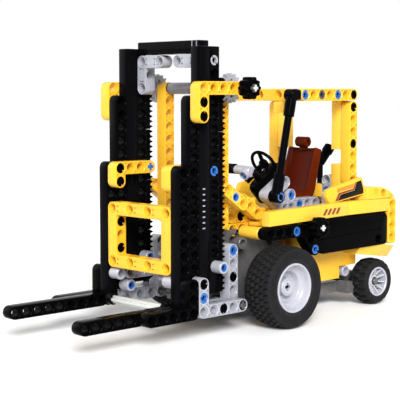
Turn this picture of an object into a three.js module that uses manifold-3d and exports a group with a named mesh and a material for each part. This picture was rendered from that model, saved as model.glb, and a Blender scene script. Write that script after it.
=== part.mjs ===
// Toy forklift of a pin-and-beam construction system, in millimetres.
// +Z is up, the forks point to -Y and the vehicle's left side is +X.
// Places are given on the system's 8 mm grid, counted from the lift axle's row (z = 0),
// the mast posts (y = 0) and the centre plane (x = 0).
import * as THREE from 'three';
import { mergeVertices } from 'three/addons/utils/BufferGeometryUtils.js';
import Module from 'manifold-3d';

const wasm = await Module();
wasm.setup();

// Driving dimensions
const M = 8; // hole spacing and beam width of the system
const BEAM = 7.7; // real width and thickness of a beam, leaving a gap to its neighbours
const HALF = BEAM / 2;
const HOLE_R = 2.7;
const HOLE_SIDES = 6;
const ROUND_SIDES = 6; // segments in each rounded beam end
const FRONT_TYRE_R = 25.2;
const FRONT_TYRE_WIDTH = 20;
const FRONT_RIM_R = 15.2;
const REAR_TYRE_R = 15.6;
const REAR_TYRE_WIDTH = 14;
const REAR_RIM_R = 9.2;
const FRONT_AXLE = { y: 8, z: -15 }; // grid
const REAR_AXLE_Y = 21; // grid
const GEAR_TEETH = 16;
const GEAR_MODULE = 1; // tooth module in millimetres
const GEAR_PITCH_R = (GEAR_TEETH * GEAR_MODULE) / 2;
const TOOTH_PITCH = Math.PI * GEAR_MODULE;
const RACK_TEETH = 40;
const KNOB_R = 6.2;
const KNOB_RIBS = 10;
const FORK_TIP_Y = -10; // grid row of the last hole in the forks
const MAST_PIVOT = { y: 4, z: -16 }; // grid

// The ground lies one front tyre radius below the front axle, and the origin halfway between
// the fork tips and the backs of the rear tyres.
const LIFT_ROW_HEIGHT = -FRONT_AXLE.z * M + FRONT_TYRE_R;
const REAR_AXLE_Z = (REAR_TYRE_R - LIFT_ROW_HEIGHT) / M;
const MIDDLE_Y = (FORK_TIP_Y * M - HALF + REAR_AXLE_Y * M + REAR_TYRE_R) / 2;

// Materials
function plastic(color, roughness = 0.35) {
  return new THREE.MeshStandardMaterial({ color, roughness, metalness: 0 });
}
const yellow = plastic(0xf5c518);
const black = plastic(0x101010, 0.3);
const lightGrey = plastic(0xc9ccd4);
const darkGrey = plastic(0x5c5a60);
const brown = plastic(0x6b1f0c);
const rubber = plastic(0x303030, 0.8);

// Directions that a flat outline can be pushed out along. The columns are where the outline's
// first axis, its second axis and the push direction go.
const ALONG_X = new THREE.Matrix4().makeBasis(
  new THREE.Vector3(0, 1, 0), new THREE.Vector3(0, 0, 1), new THREE.Vector3(1, 0, 0));
const ALONG_Y = new THREE.Matrix4().makeBasis(
  new THREE.Vector3(1, 0, 0), new THREE.Vector3(0, 0, 1), new THREE.Vector3(0, -1, 0));
const ALONG_Z = new THREE.Matrix4();

const forklift = new THREE.Group();
forklift.name = 'forklift';
forklift.position.set(0, -MIDDLE_Y, LIFT_ROW_HEIGHT);

// A plate of a flat outline, centred on its thickness, standing at a grid place.
function plate(name, material, shape, direction, thickness, place = {}) {
  const geometry = new THREE.ExtrudeGeometry(shape, {
    depth: thickness, bevelEnabled: false, steps: 1, curveSegments: ROUND_SIDES });
  geometry.translate(0, 0, -thickness / 2);
  const mesh = new THREE.Mesh(geometry, material);
  mesh.name = name;
  mesh.setRotationFromMatrix(direction);
  mesh.position.set((place.x ?? 0) * M, (place.y ?? 0) * M, (place.z ?? 0) * M);
  forklift.add(mesh);
  return mesh;
}

// A solid of revolution about a line along X. The profile lists [radius, x] pairs that close
// on themselves or start and end on the axis.
function turned(name, material, profile, segments, place) {
  const points = profile.map(([radius, along]) => new THREE.Vector2(radius, along));
  const geometry = new THREE.LatheGeometry(points, segments);
  const mesh = new THREE.Mesh(geometry, material);
  mesh.name = name;
  mesh.rotation.z = -Math.PI / 2;
  mesh.position.set((place.x ?? 0) * M, place.y * M, place.z * M);
  forklift.add(mesh);
  return mesh;
}

// Corner points of an arc about a centre, from one angle to another.
function arcPoints(centre, radius, from, to, segments) {
  const points = [];
  for (let i = 0; i <= segments; i += 1) {
    const angle = from + ((to - from) * i) / segments;
    points.push(new THREE.Vector2(
      centre.x + radius * Math.cos(angle), centre.y + radius * Math.sin(angle)));
  }
  return points;
}

// The outline of a round-ended beam that follows a run of grid points, given as [u, v] pairs.
function beamOutline(run) {
  const path = run.map(([u, v]) => new THREE.Vector2(u * M, v * M));
  const angles = [];
  for (let i = 0; i < path.length - 1; i += 1) {
    const step = path[i + 1].clone().sub(path[i]);
    angles.push(Math.atan2(step.y, step.x));
  }
  // One side of the beam, walked forwards with the beam on its left.
  const side = (points, headings) => {
    const outline = [];
    for (let i = 1; i < points.length - 1; i += 1) {
      const before = headings[i - 1];
      let turn = headings[i] - before;
      turn = Math.atan2(Math.sin(turn), Math.cos(turn));
      if (turn > 0) {
        outline.push(...arcPoints(points[i], HALF, before - Math.PI / 2,
          before - Math.PI / 2 + turn, Math.max(2, Math.round((turn / Math.PI) * ROUND_SIDES))));
      } else {
        const middle = before - Math.PI / 2 + turn / 2;
        const reach = HALF / Math.cos(turn / 2);
        outline.push(new THREE.Vector2(
          points[i].x + reach * Math.cos(middle), points[i].y + reach * Math.sin(middle)));
      }
    }
    const last = points[points.length - 1];
    const end = headings[headings.length - 1];
    outline.push(...arcPoints(last, HALF, end - Math.PI / 2, end + Math.PI / 2, ROUND_SIDES));
    return outline;
  };
  const backwards = [...path].reverse();
  const backAngles = [...angles].reverse().map((angle) => angle + Math.PI);
  return [...side(path, angles), ...side(backwards, backAngles)];
}

// A round hole at a place in an outline's own millimetres.
function hole(u, v, radius = HOLE_R) {
  const path = new THREE.Path();
  path.setFromPoints(arcPoints(new THREE.Vector2(u, v), radius, 0, 2 * Math.PI, HOLE_SIDES)
    .slice(0, HOLE_SIDES).reverse());
  return path;
}

// A beam with a hole at every grid step of its run.
function beamShape(run) {
  const shape = new THREE.Shape(beamOutline(run));
  const places = [];
  for (let i = 0; i < run.length - 1; i += 1) {
    const [u0, v0] = run[i];
    const [u1, v1] = run[i + 1];
    const length = Math.hypot(u1 - u0, v1 - v0);
    const steps = Math.round(length);
    for (let k = i === 0 ? 0 : 1; k <= steps; k += 1) {
      places.push([u0 + ((u1 - u0) * k) / length, v0 + ((v1 - v0) * k) / length]);
    }
  }
  for (const [u, v] of places) {
    shape.holes.push(hole(u * M, v * M));
  }
  return shape;
}

// A beam in a vertical plane along the vehicle, at a grid distance left of its centre plane.
function sideBeam(name, material, run, x) {
  return plate(name, material, beamShape(run), ALONG_X, BEAM, { x });
}

// A plain outline given in grid units.
function gridShape(points) {
  return new THREE.Shape(points.map(([u, v]) => new THREE.Vector2(u * M, v * M)));
}

// A rectangle between two grid corners, taken in by the gap that neighbouring beams keep.
function gridRectangle(u0, v0, u1, v1) {
  const inset = (M - BEAM) / 2 / M;
  return gridShape([
    [u0 + inset, v0 + inset], [u1 - inset, v0 + inset],
    [u1 - inset, v1 - inset], [u0 + inset, v1 - inset]]);
}

// A rectangular opening between two grid corners.
function gridOpening(u0, v0, u1, v1) {
  const path = new THREE.Path();
  path.setFromPoints([[u0, v0], [u0, v1], [u1, v1], [u1, v0]]
    .map(([u, v]) => new THREE.Vector2(u * M, v * M)));
  return path;
}

// A mesh as a solid that can be joined and cut.
function toSolid(mesh) {
  mesh.updateMatrixWorld(true);
  const geometry = mesh.geometry.clone();
  geometry.applyMatrix4(mesh.matrix);
  geometry.deleteAttribute('normal');
  geometry.deleteAttribute('uv');
  const merged = mergeVertices(geometry.index ? geometry.toNonIndexed() : geometry, 1e-4);
  return new wasm.Manifold(new wasm.Mesh({
    numProp: 3,
    vertProperties: merged.attributes.position.array,
    triVerts: new Uint32Array(merged.index.array),
  }));
}

// A solid as a named mesh.
function fromSolid(name, material, solid) {
  const result = solid.getMesh();
  const geometry = new THREE.BufferGeometry();
  geometry.setAttribute('position', new THREE.BufferAttribute(result.vertProperties, 3));
  geometry.setIndex(new THREE.BufferAttribute(result.triVerts, 1));
  geometry.computeVertexNormals();
  const mesh = new THREE.Mesh(geometry, material);
  mesh.name = name;
  forklift.add(mesh);
  return mesh;
}

// Joins several plates into one piece of the given name.
function joined(name, material, meshes) {
  const solids = meshes.map(toSolid);
  for (const mesh of meshes) {
    forklift.remove(mesh);
  }
  return fromSolid(name, material, solids.reduce((whole, solid) => whole.add(solid)));
}

// Cuts one plate out of another, which keeps its name.
function cut(material, mesh, tool) {
  const solid = toSolid(mesh).subtract(toSolid(tool));
  forklift.remove(mesh);
  forklift.remove(tool);
  return fromSolid(mesh.name, material, solid);
}

const SIDES = [['left', 1], ['right', -1]];

// Outer mast: posts, top and foot corner beams and the beams behind the gears.
for (const [side, s] of SIDES) {
  sideBeam(`mast_post_${side}`, black, [[0, -1], [0, -15]], 4 * s);
  sideBeam(`mast_top_bracket_${side}`, yellow, [[4, 0], [0, 0], [0, -2]], 5 * s);
  sideBeam(`mast_rear_beam_${side}`, yellow, [[4, 0], [4, -10]], 3 * s);
  sideBeam(`mast_foot_bracket_${side}`, lightGrey, [[0, -14], [0, -16], [4, -16]], 5 * s);
  sideBeam(`mast_foot_upright_${side}`, lightGrey, [[4, -12], [4, -16]], 4 * s);
}

// Inner mast: a smooth column and a column with holes on each side, joined by the top crossbar.
const COLUMN_TOP = 3;
const COLUMN_FOOT = -15;
function smoothColumnShape() {
  const flat = HALF - 0.1 * M;
  return new THREE.Shape([
    [-HALF, -flat], [-flat, -HALF], [flat, -HALF], [HALF, -flat],
    [HALF, flat], [flat, HALF], [-flat, HALF], [-HALF, flat],
  ].map(([u, v]) => new THREE.Vector2(u, v)));
}
function holedColumnShape(y) {
  const shape = gridRectangle(y - 0.5, COLUMN_FOOT, y + 0.5, COLUMN_TOP);
  for (let z = 2; z >= -12; z -= 1) {
    shape.holes.push(hole(y * M, z * M));
  }
  return shape;
}
for (const [side, s] of SIDES) {
  plate(`slide_column_${side}`, black, smoothColumnShape(), ALONG_Z,
    (COLUMN_TOP - COLUMN_FOOT) * M, { x: 4 * s, y: 1, z: (COLUMN_TOP + COLUMN_FOOT) / 2 });
  plate(`lift_column_${side}`, black, holedColumnShape(2), ALONG_X, BEAM, { x: 4 * s });
}
plate('top_crossbar', black, gridRectangle(1.5, 2.5, 2.5, 3.5), ALONG_X,
  7 * M - (M - BEAM), {});

// Toothed racks on the back of the holed columns. The pitch line lies one gear pitch radius
// in front of the lift axle, with a tooth space at the axle's height.
const LIFT_AXLE_Y = 4;
const PITCH_LINE_Y = LIFT_AXLE_Y * M - GEAR_PITCH_R;
const RACK_BACK_Y = 2.5 * M + (M - BEAM) / 2;
const ADDENDUM = 0.85 * GEAR_MODULE;
const DEDENDUM = 1.15 * GEAR_MODULE;
const RACK_TIP_HALF = 0.2 * GEAR_MODULE;
const RACK_ROOT_HALF = 0.95 * GEAR_MODULE;
function rackShape() {
  const top = 2 * TOOTH_PITCH;
  const foot = top - RACK_TEETH * TOOTH_PITCH;
  const shape = new THREE.Shape();
  shape.moveTo(RACK_BACK_Y, top);
  shape.lineTo(RACK_BACK_Y, foot);
  shape.lineTo(PITCH_LINE_Y - DEDENDUM, foot);
  for (let tooth = 0; tooth < RACK_TEETH; tooth += 1) {
    const middle = foot + (tooth + 0.5) * TOOTH_PITCH;
    shape.lineTo(PITCH_LINE_Y - DEDENDUM, middle - RACK_ROOT_HALF);
    shape.lineTo(PITCH_LINE_Y + ADDENDUM, middle - RACK_TIP_HALF);
    shape.lineTo(PITCH_LINE_Y + ADDENDUM, middle + RACK_TIP_HALF);
    shape.lineTo(PITCH_LINE_Y - DEDENDUM, middle + RACK_ROOT_HALF);
  }
  shape.lineTo(PITCH_LINE_Y - DEDENDUM, top);
  return shape;
}
for (const [side, s] of SIDES) {
  plate(`rack_${side}`, black, rackShape(), ALONG_X, BEAM, { x: 4 * s });
}

// Carriage: posts that end in a solid foot, corner beams, the front frame and the forks.
const CARRIAGE_Y = -1;
function carriagePostShape() {
  const y = CARRIAGE_Y;
  const centre = new THREE.Vector2(y * M, -6 * M);
  const foot = -16.5 * M + (M - BEAM) / 2;
  const outline = [
    new THREE.Vector2(y * M - HALF, foot),
    new THREE.Vector2(y * M + HALF, foot),
    ...arcPoints(centre, HALF, 0, Math.PI, ROUND_SIDES),
  ];
  const shape = new THREE.Shape(outline);
  for (let z = -6; z >= -13; z -= 1) {
    shape.holes.push(hole(y * M, z * M));
  }
  return shape;
}
function carriageFrameShape() {
  const shape = gridRectangle(-3.5, -13.5, 3.5, -8.5);
  shape.holes.push(gridOpening(-2.5, -12.5, 2.5, -9.5));
  for (const x of [-3, -1, 1, 3]) {
    shape.holes.push(hole(x * M, -9 * M));
    shape.holes.push(hole(x * M, -13 * M));
  }
  return shape;
}
for (const [side, s] of SIDES) {
  plate(`carriage_post_${side}`, black, carriagePostShape(), ALONG_X, BEAM, { x: 4 * s });
  sideBeam(`carriage_arm_${side}`, yellow, [[2, -6], [CARRIAGE_Y, -6], [CARRIAGE_Y, -7]], 3 * s);
  sideBeam(`fork_bracket_${side}`, black,
    [[CARRIAGE_Y, -14], [CARRIAGE_Y, -16], [CARRIAGE_Y - 4, -16]], 5 * s);
  sideBeam(`fork_${side}`, black, [[-2, -16], [FORK_TIP_Y, -16]], 4 * s);
}
plate('carriage_frame', yellow, carriageFrameShape(), ALONG_Y, BEAM, { y: CARRIAGE_Y });

// Lift drive: a cross axle through the top of the mast, two gears in mesh with the racks and a
// ribbed knob on the left.
const CROSS_ARM = 2.0;
const CROSS_WEB = 0.8;
function crossShape() {
  const a = CROSS_ARM;
  const w = CROSS_WEB;
  return new THREE.Shape([
    [a, -w], [a, w], [w, w], [w, a], [-w, a], [-w, w],
    [-a, w], [-a, -w], [-w, -w], [-w, -a], [w, -a], [w, -w],
  ].map(([u, v]) => new THREE.Vector2(u, v)));
}
function gearShape() {
  const outline = [];
  for (let tooth = 0; tooth < GEAR_TEETH; tooth += 1) {
    const middle = (tooth * 2 * Math.PI) / GEAR_TEETH;
    const corners = [
      [GEAR_PITCH_R - DEDENDUM, -0.115], [GEAR_PITCH_R + ADDENDUM, -0.03],
      [GEAR_PITCH_R + ADDENDUM, 0.03], [GEAR_PITCH_R - DEDENDUM, 0.115]];
    for (const [radius, offset] of corners) {
      outline.push(new THREE.Vector2(
        radius * Math.cos(middle + offset), radius * Math.sin(middle + offset)));
    }
  }
  const shape = new THREE.Shape(outline);
  shape.holes.push(hole(0, 0));
  return shape;
}
function knobShape() {
  const outline = [];
  for (let rib = 0; rib < KNOB_RIBS; rib += 1) {
    const middle = (rib * 2 * Math.PI) / KNOB_RIBS;
    const corners = [[0.86, -0.24], [1, -0.13], [1, 0.13], [0.86, 0.24]];
    for (const [share, offset] of corners) {
      outline.push(new THREE.Vector2(
        share * KNOB_R * Math.cos(middle + offset), share * KNOB_R * Math.sin(middle + offset)));
    }
  }
  return new THREE.Shape(outline);
}
function boredKnobShape() {
  const shape = knobShape();
  shape.holes.push(hole(0, 0));
  return shape;
}
const LIFT_AXLE_ENDS = [-5.6, 6.7];
plate('lift_axle', darkGrey, crossShape(), ALONG_X, (LIFT_AXLE_ENDS[1] - LIFT_AXLE_ENDS[0]) * M,
  { x: (LIFT_AXLE_ENDS[0] + LIFT_AXLE_ENDS[1]) / 2, y: LIFT_AXLE_Y });
for (const [side, s] of SIDES) {
  plate(`lift_gear_${side}`, lightGrey, gearShape(), ALONG_X, BEAM, { x: 4 * s, y: LIFT_AXLE_Y });
}
plate('lift_knob', black, boredKnobShape(), ALONG_X, BEAM, { x: 6.05, y: LIFT_AXLE_Y });

// Tilt drive: the axle that the mast tilts on, and the knob on the body's left side with its
// stub axle.
plate('mast_pivot_axle', darkGrey, crossShape(), ALONG_X, 11 * M, MAST_PIVOT);
const TILT_KNOB = { x: 6.1, y: 11.85, z: -10.8 };
const TILT_STUB_END_X = 4.6;
function tiltStub(name, shape) {
  return plate(name, black, shape, ALONG_X, (TILT_KNOB.x - TILT_STUB_END_X) * M,
    { ...TILT_KNOB, x: (TILT_KNOB.x + TILT_STUB_END_X) / 2 });
}
joined('tilt_knob', black, [
  plate('tilt_grip', black, knobShape(), ALONG_X, BEAM, TILT_KNOB),
  tiltStub('tilt_stub', crossShape()),
]);

// Wheels. Profiles run from the hub outwards and back, with x along the axle.
const WHEEL_SEGMENTS = 24;
function tyreProfile(outer, inner, width, shoulder) {
  const half = width / 2;
  return [
    [inner, -half + shoulder * 0.6], [inner + shoulder, -half], [outer - shoulder * 1.6, -half],
    [outer - shoulder * 0.4, -half + shoulder * 0.8], [outer, -half + shoulder * 2.4],
    [outer, half - shoulder * 2.4], [outer - shoulder * 0.4, half - shoulder * 0.8],
    [outer - shoulder * 1.6, half], [inner + shoulder, half], [inner, half - shoulder * 0.6],
    [inner, -half + shoulder * 0.6]];
}
// A dished rim: a barrel, a web towards its inner side and a hub with a bore.
function rimProfile(outer, width, bore, hub, dish) {
  const half = width / 2;
  const wall = 1.4;
  return [
    [bore, -half + 1], [hub, -half + 1], [hub, dish - 2], [outer - 2 * wall, dish - 2],
    [outer - wall, -half + 0.6], [outer, -half + 0.6], [outer, half - 0.6],
    [outer - wall, half - 0.6], [outer - 2 * wall, dish], [hub, dish], [hub, dish + 2.4],
    [bore, dish + 2.4], [bore, -half + 1]];
}
const FRONT_WHEEL_X = 5.85; // grid
const REAR_WHEEL_X = 4.1; // grid
const RIM_GAP = 0.3;
for (const [side, s] of SIDES) {
  const front = { x: FRONT_WHEEL_X * s, ...FRONT_AXLE };
  const rear = { x: REAR_WHEEL_X * s, y: REAR_AXLE_Y, z: REAR_AXLE_Z };
  const meshes = [
    turned(`front_tyre_${side}`, rubber,
      tyreProfile(FRONT_TYRE_R, FRONT_RIM_R, FRONT_TYRE_WIDTH, 1.6), WHEEL_SEGMENTS, front),
    turned(`front_rim_${side}`, lightGrey,
      rimProfile(FRONT_RIM_R - RIM_GAP, FRONT_TYRE_WIDTH, 2.6, 4.4, 0), WHEEL_SEGMENTS, front),
    turned(`rear_tyre_${side}`, rubber,
      tyreProfile(REAR_TYRE_R, REAR_RIM_R, REAR_TYRE_WIDTH, 1.2), WHEEL_SEGMENTS, rear),
    turned(`rear_rim_${side}`, lightGrey,
      rimProfile(REAR_RIM_R - RIM_GAP, REAR_TYRE_WIDTH, 2.7, 3.9, 1), WHEEL_SEGMENTS, rear),
  ];
  for (const mesh of meshes) {
    mesh.rotation.z = -s * Math.PI / 2;
  }
}
plate('front_axle', darkGrey, crossShape(), ALONG_X, 2 * 5.95 * M, FRONT_AXLE);
// The rear axle: a carrier block's round bar with a thinner pin at each end for the wheels.
const CARRIER_R = 3.8;
const REAR_PIN_R = 2.35;
const CARRIER_HALF = 3.05 * M;
const REAR_PIN_END = 4.75 * M;
turned('rear_axle', darkGrey, [
  [0, -REAR_PIN_END], [REAR_PIN_R, -REAR_PIN_END], [REAR_PIN_R, -CARRIER_HALF],
  [CARRIER_R, -CARRIER_HALF], [CARRIER_R, CARRIER_HALF], [REAR_PIN_R, CARRIER_HALF],
  [REAR_PIN_R, REAR_PIN_END], [0, REAR_PIN_END]], 12,
{ y: REAR_AXLE_Y, z: REAR_AXLE_Z });

// Chassis, seen from the left: a floor, a block that carries the front axle and, in front of
// it, the lug that the mast pivots on.
function chassisShape() {
  const lug = arcPoints(new THREE.Vector2(MAST_PIVOT.y * M, MAST_PIVOT.z * M), HALF,
    Math.PI / 2, (3 * Math.PI) / 2, ROUND_SIDES);
  const lugTop = MAST_PIVOT.z + HALF / M;
  const body = [
    [5, -17.1], [20.3, -17.1], [20.3, -16.1], [11.6, -16.1], [11.6, -10.75], [5, -10.75],
    [5, lugTop]];
  const shape = new THREE.Shape([
    ...body.map(([u, v]) => new THREE.Vector2(u * M, v * M)), ...lug]);
  shape.holes.push(hole(MAST_PIVOT.y * M, MAST_PIVOT.z * M));
  shape.holes.push(hole(FRONT_AXLE.y * M, FRONT_AXLE.z * M));
  return shape;
}
plate('chassis', darkGrey, chassisShape(), ALONG_X, 5 * M, {});
plate('cab_floor', lightGrey, gridRectangle(-4.5, 12.3, 4.5, 21.4), ALONG_Z, 0.6 * M, { z: -10.2 });
plate('lower_body', yellow, gridShape([
  [11.9, -10.6], [21.3, -10.6], [21.3, -13.15], [19.7, -13.15], [19.7, -14.7], [17.5, -14.7],
  [17.5, -16], [11.9, -16]]), ALONG_X, 7 * M, {});

// Bent beams over the front wheels.
for (const [side, s] of SIDES) {
  sideBeam(`fender_beam_${side}`, black, [[7, -11], [11, -11], [12.2, -12.6]], 5 * s);
}

// Side panels behind the bent beams, and the yellow rails above them.
const PANEL_END_Y = 21.45;
for (const [side, s] of SIDES) {
  const panel = plate(`side_panel_${side}`, black, gridShape([
    [13.32, -13.1], [PANEL_END_Y, -13.1], [PANEL_END_Y, -10.25], [16.4, -10.25],
    [11.29, -10.38]]), ALONG_X, 0.9 * M, { x: 5.02 * s });
  const notch = gridShape([[11.4, -11.15], [12.2, -11.15], [12.2, -10.45], [11.4, -10.45]]);
  cut(black, panel, plate('knob_notch', black, notch, ALONG_X, M, { x: 5.02 * s }));
  plate(`side_rail_${side}`, yellow, gridShape([
    [6.9, -10.44], [16.4, -10.2], [PANEL_END_Y, -10.2], [PANEL_END_Y, -9.15], [6.9, -9.25]]),
  ALONG_X, 0.9 * M, { x: 5.02 * s });
}

// Rear wall across the tail, seen from behind.
plate('rear_frame', yellow, gridRectangle(-5.5, -13, 5.5, -9), ALONG_Y, BEAM, { y: 22 });

// Engine cover: a deck with a slanted cowl along each side, seen from the left for the cowls.
const COWL_X = 4.85;
function cowl() {
  return gridShape([[14, -8.9], [19, -8.9], [18.55, -7.43], [14.45, -8.07]]);
}
joined('engine_cover', yellow, [
  plate('deck', yellow, gridRectangle(-5.5, 17.5, 5.5, 22.5), ALONG_Z, 0.25 * M, { z: -8.85 }),
  plate('cowl_a', yellow, cowl(), ALONG_X, 0.5 * M, { x: COWL_X }),
  plate('cowl_b', yellow, cowl(), ALONG_X, 0.5 * M, { x: -COWL_X }),
]);

// Cab: roof side and rear post in one corner beam on each side, a roof frame between them and a
// slanted strut at each front corner.
const ROOF_Z = -0.5;
const CAB_FOOT_Z = -8.5;
for (const [side, s] of SIDES) {
  sideBeam(`cab_frame_${side}`, yellow, [[12, ROOF_Z], [18, ROOF_Z], [18, CAB_FOOT_Z + 0.6]], 4 * s);
  plate(`windscreen_strut_${side}`, black, gridShape([
    [10.55, -0.05], [11.45, -0.05], [11.45, -0.95], [11.2, -1.0], [10.05, -9.75],
    [9.45, -9.75], [10.55, -1.0]]), ALONG_X, 0.75 * M, { x: 4 * s });
}
function roofShape() {
  const shape = gridRectangle(-3.5, 11.5, 3.5, 18.5);
  shape.holes.push(gridOpening(-2.5, 12.5, 2.5, 17.5));
  return shape;
}
plate('roof_frame', yellow, roofShape(), ALONG_Z, BEAM, { z: ROOF_Z });

// Seat: a cushion, a leaning backrest and a headrest.
plate('seat', brown, gridShape([
  [13.9, -9.75], [17, -9.75], [17.85, -5.1], [17.7, -4.1], [16.95, -4.1], [17.05, -5.05],
  [16.2, -8.75], [14, -9.1]]), ALONG_X, 3.1 * M, {});

// Steering wheel with its column, tilted towards the seat.
const STEERING = { y: 12.1, z: -6.1 };
const STEERING_TILT = (57 * Math.PI) / 180;
const STEERING_R = 10;
function steeringWheel() {
  const ring = new THREE.Shape(arcPoints(new THREE.Vector2(), STEERING_R, 0, 2 * Math.PI, 20)
    .slice(0, 20));
  for (let third = 0; third < 3; third += 1) {
    const from = (third * 2 * Math.PI) / 3 + 0.2;
    const to = ((third + 1) * 2 * Math.PI) / 3 - 0.2;
    const window = new THREE.Path();
    const outer = arcPoints(new THREE.Vector2(), STEERING_R - 1.5, from, to, 5);
    const inner = arcPoints(new THREE.Vector2(), 3.2, to - 0.25, from + 0.25, 2);
    window.setFromPoints([...outer, ...inner].reverse());
    ring.holes.push(window);
  }
  const disc = plate('wheel_disc', black, ring, ALONG_Z, 1.8, {});
  const column = plate('wheel_column', black, crossShape(), ALONG_Z, 2.6 * M, { z: -1.25 });
  const piece = joined('steering_wheel', black, [disc, column]);
  piece.rotation.x = -STEERING_TILT;
  piece.position.set(0, STEERING.y * M, STEERING.z * M);
}
steeringWheel();

export default forklift;
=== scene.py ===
"""A toy forklift of a pin-and-beam construction system: its looks, built around the CAD frame.

Shapes are made on the system's grid, whose unit is the spacing of the beams' holes. x runs to
the vehicle's left, y to its rear and z up, counted from the centre plane, the mast posts and
the row of the lift axle. Shapes that lie in a plane are drawn with u and v in that plane and w
across it.
"""

import math
import random

import bpy
from mathutils import Matrix, Vector
from mathutils.geometry import delaunay_2d_cdt


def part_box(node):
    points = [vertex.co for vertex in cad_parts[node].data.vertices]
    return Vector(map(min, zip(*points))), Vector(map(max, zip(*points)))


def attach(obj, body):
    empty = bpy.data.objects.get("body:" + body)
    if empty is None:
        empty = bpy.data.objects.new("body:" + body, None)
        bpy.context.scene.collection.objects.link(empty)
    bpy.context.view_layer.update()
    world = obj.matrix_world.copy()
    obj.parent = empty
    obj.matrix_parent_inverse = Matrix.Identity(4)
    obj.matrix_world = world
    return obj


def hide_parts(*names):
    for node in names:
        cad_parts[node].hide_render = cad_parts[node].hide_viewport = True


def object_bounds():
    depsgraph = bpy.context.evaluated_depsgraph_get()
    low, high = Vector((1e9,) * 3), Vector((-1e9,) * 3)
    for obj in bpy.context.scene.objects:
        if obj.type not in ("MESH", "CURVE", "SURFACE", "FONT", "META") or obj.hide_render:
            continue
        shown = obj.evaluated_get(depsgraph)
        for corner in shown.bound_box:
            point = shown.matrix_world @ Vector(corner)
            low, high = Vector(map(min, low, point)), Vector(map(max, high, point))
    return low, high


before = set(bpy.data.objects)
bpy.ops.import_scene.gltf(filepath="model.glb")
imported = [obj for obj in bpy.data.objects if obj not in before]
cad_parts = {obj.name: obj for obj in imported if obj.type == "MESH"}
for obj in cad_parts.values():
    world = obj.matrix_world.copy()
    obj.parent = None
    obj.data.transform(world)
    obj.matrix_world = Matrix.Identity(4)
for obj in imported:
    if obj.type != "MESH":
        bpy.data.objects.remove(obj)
cad_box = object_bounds()


# ---------------------------------------------------------------------------------- the grid

SPACING = 0.008  # metres between two holes


def middle(node):
    low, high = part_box(node)
    return (low + high) / 2


GRID_ORIGIN = Vector((0, middle("lift_axle").y - 4 * SPACING, middle("lift_axle").z))


def mm(length):
    """Millimetres in grid units."""
    return length * 0.001 / SPACING


def to_frame(point):
    return GRID_ORIGIN + Vector(point) * SPACING


def grid_of(node):
    """The middle of a CAD node on the grid."""
    return (middle(node) - GRID_ORIGIN) / SPACING


HALF_BEAM = mm(3.85)
EDGE = mm(0.35)  # rounding of moulded edges
BORE_R = mm(2.4)
RECESS_R = mm(3.1)  # the wider mouth of each hole
RECESS_DEPTH = mm(0.85)
CIRCLE_STEPS = 26
END_STEPS = 12  # steps round the end of a beam
SIDES = (("left", 1), ("right", -1))

# Columns are where u, v and w go.
ALONG_X = Matrix(((0, 0, 1), (1, 0, 0), (0, 1, 0)))
ALONG_Y = Matrix(((1, 0, 0), (0, 0, -1), (0, 1, 0)))
ALONG_Z = Matrix.Identity(3)


# ------------------------------------------------------------------------------- flat shapes


def flat(u, v):
    return Vector((u, v))


def arc(centre, radius, start, end, steps):
    """Points on an arc, angles in radians."""
    points = []
    for i in range(steps + 1):
        angle = start + (end - start) * i / steps
        points.append(centre + radius * flat(math.cos(angle), math.sin(angle)))
    return points


def circle(centre, radius, steps=CIRCLE_STEPS):
    return arc(centre, radius, 0, 2 * math.pi, steps)[:-1]


def rectangle(u0, v0, u1, v1, corner=0.0, steps=4):
    """A rectangle, with round corners where a corner radius is given."""
    if corner <= 0:
        return [flat(u0, v0), flat(u1, v0), flat(u1, v1), flat(u0, v1)]
    points = []
    centres = (
        (u1 - corner, v0 + corner, -0.5),
        (u1 - corner, v1 - corner, 0.0),
        (u0 + corner, v1 - corner, 0.5),
        (u0 + corner, v0 + corner, 1.0),
    )
    for u, v, start in centres:
        begin = start * math.pi
        points += arc(flat(u, v), corner, begin, begin + math.pi / 2, steps)
    return points


def cross(centre, a=mm(2.4), w=mm(0.9)):
    """A cross whose arms reach a from the centre and are w to each side of it."""
    corners = (
        (a, -w), (a, w), (w, w), (w, a), (-w, a), (-w, w),
        (-a, w), (-a, -w), (-w, -w), (-w, -a), (w, -a), (w, -w),
    )
    return [centre + flat(u, v) for u, v in corners]


def beam_outline(run):
    """The outline of a round-ended beam that follows a run of grid points."""
    path = [flat(u, v) for u, v in run]
    headings = []
    for start, end in zip(path, path[1:]):
        step = end - start
        headings.append(math.atan2(step.y, step.x))

    def one_side(points, angles):
        outline = []
        for i in range(1, len(points) - 1):
            turn = angles[i] - angles[i - 1]
            turn = math.atan2(math.sin(turn), math.cos(turn))
            begin = angles[i - 1] - math.pi / 2
            if turn > 0:
                count = max(3, round(END_STEPS * turn / math.pi))
                outline += arc(points[i], HALF_BEAM, begin, begin + turn, count)
            else:
                reach = HALF_BEAM / math.cos(turn / 2)
                bisector = begin + turn / 2
                direction = flat(math.cos(bisector), math.sin(bisector))
                outline.append(points[i] + reach * direction)
        last = angles[-1] - math.pi / 2
        outline += arc(points[-1], HALF_BEAM, last, last + math.pi, END_STEPS)
        return outline

    back = [angle + math.pi for angle in reversed(headings)]
    return one_side(path, headings) + one_side(path[::-1], back)


def inset(points, distance):
    """The outline moved to its left by a distance."""
    moved = []
    for i, point in enumerate(points):
        before = (point - points[i - 1]).normalized()
        after = (points[(i + 1) % len(points)] - point).normalized()
        normals = flat(-before.y, before.x) + flat(-after.y, after.x)
        share = 1 + before.dot(after)
        moved.append(point + normals * distance / max(share, 0.4))
    return moved


# -------------------------------------------------------------------------------- solid shapes
# A solid is (points, faces). A slab is made of loops: each has a flat outline with the material
# on its left, and rings that say how far the outline moves to its left at each height.


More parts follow.
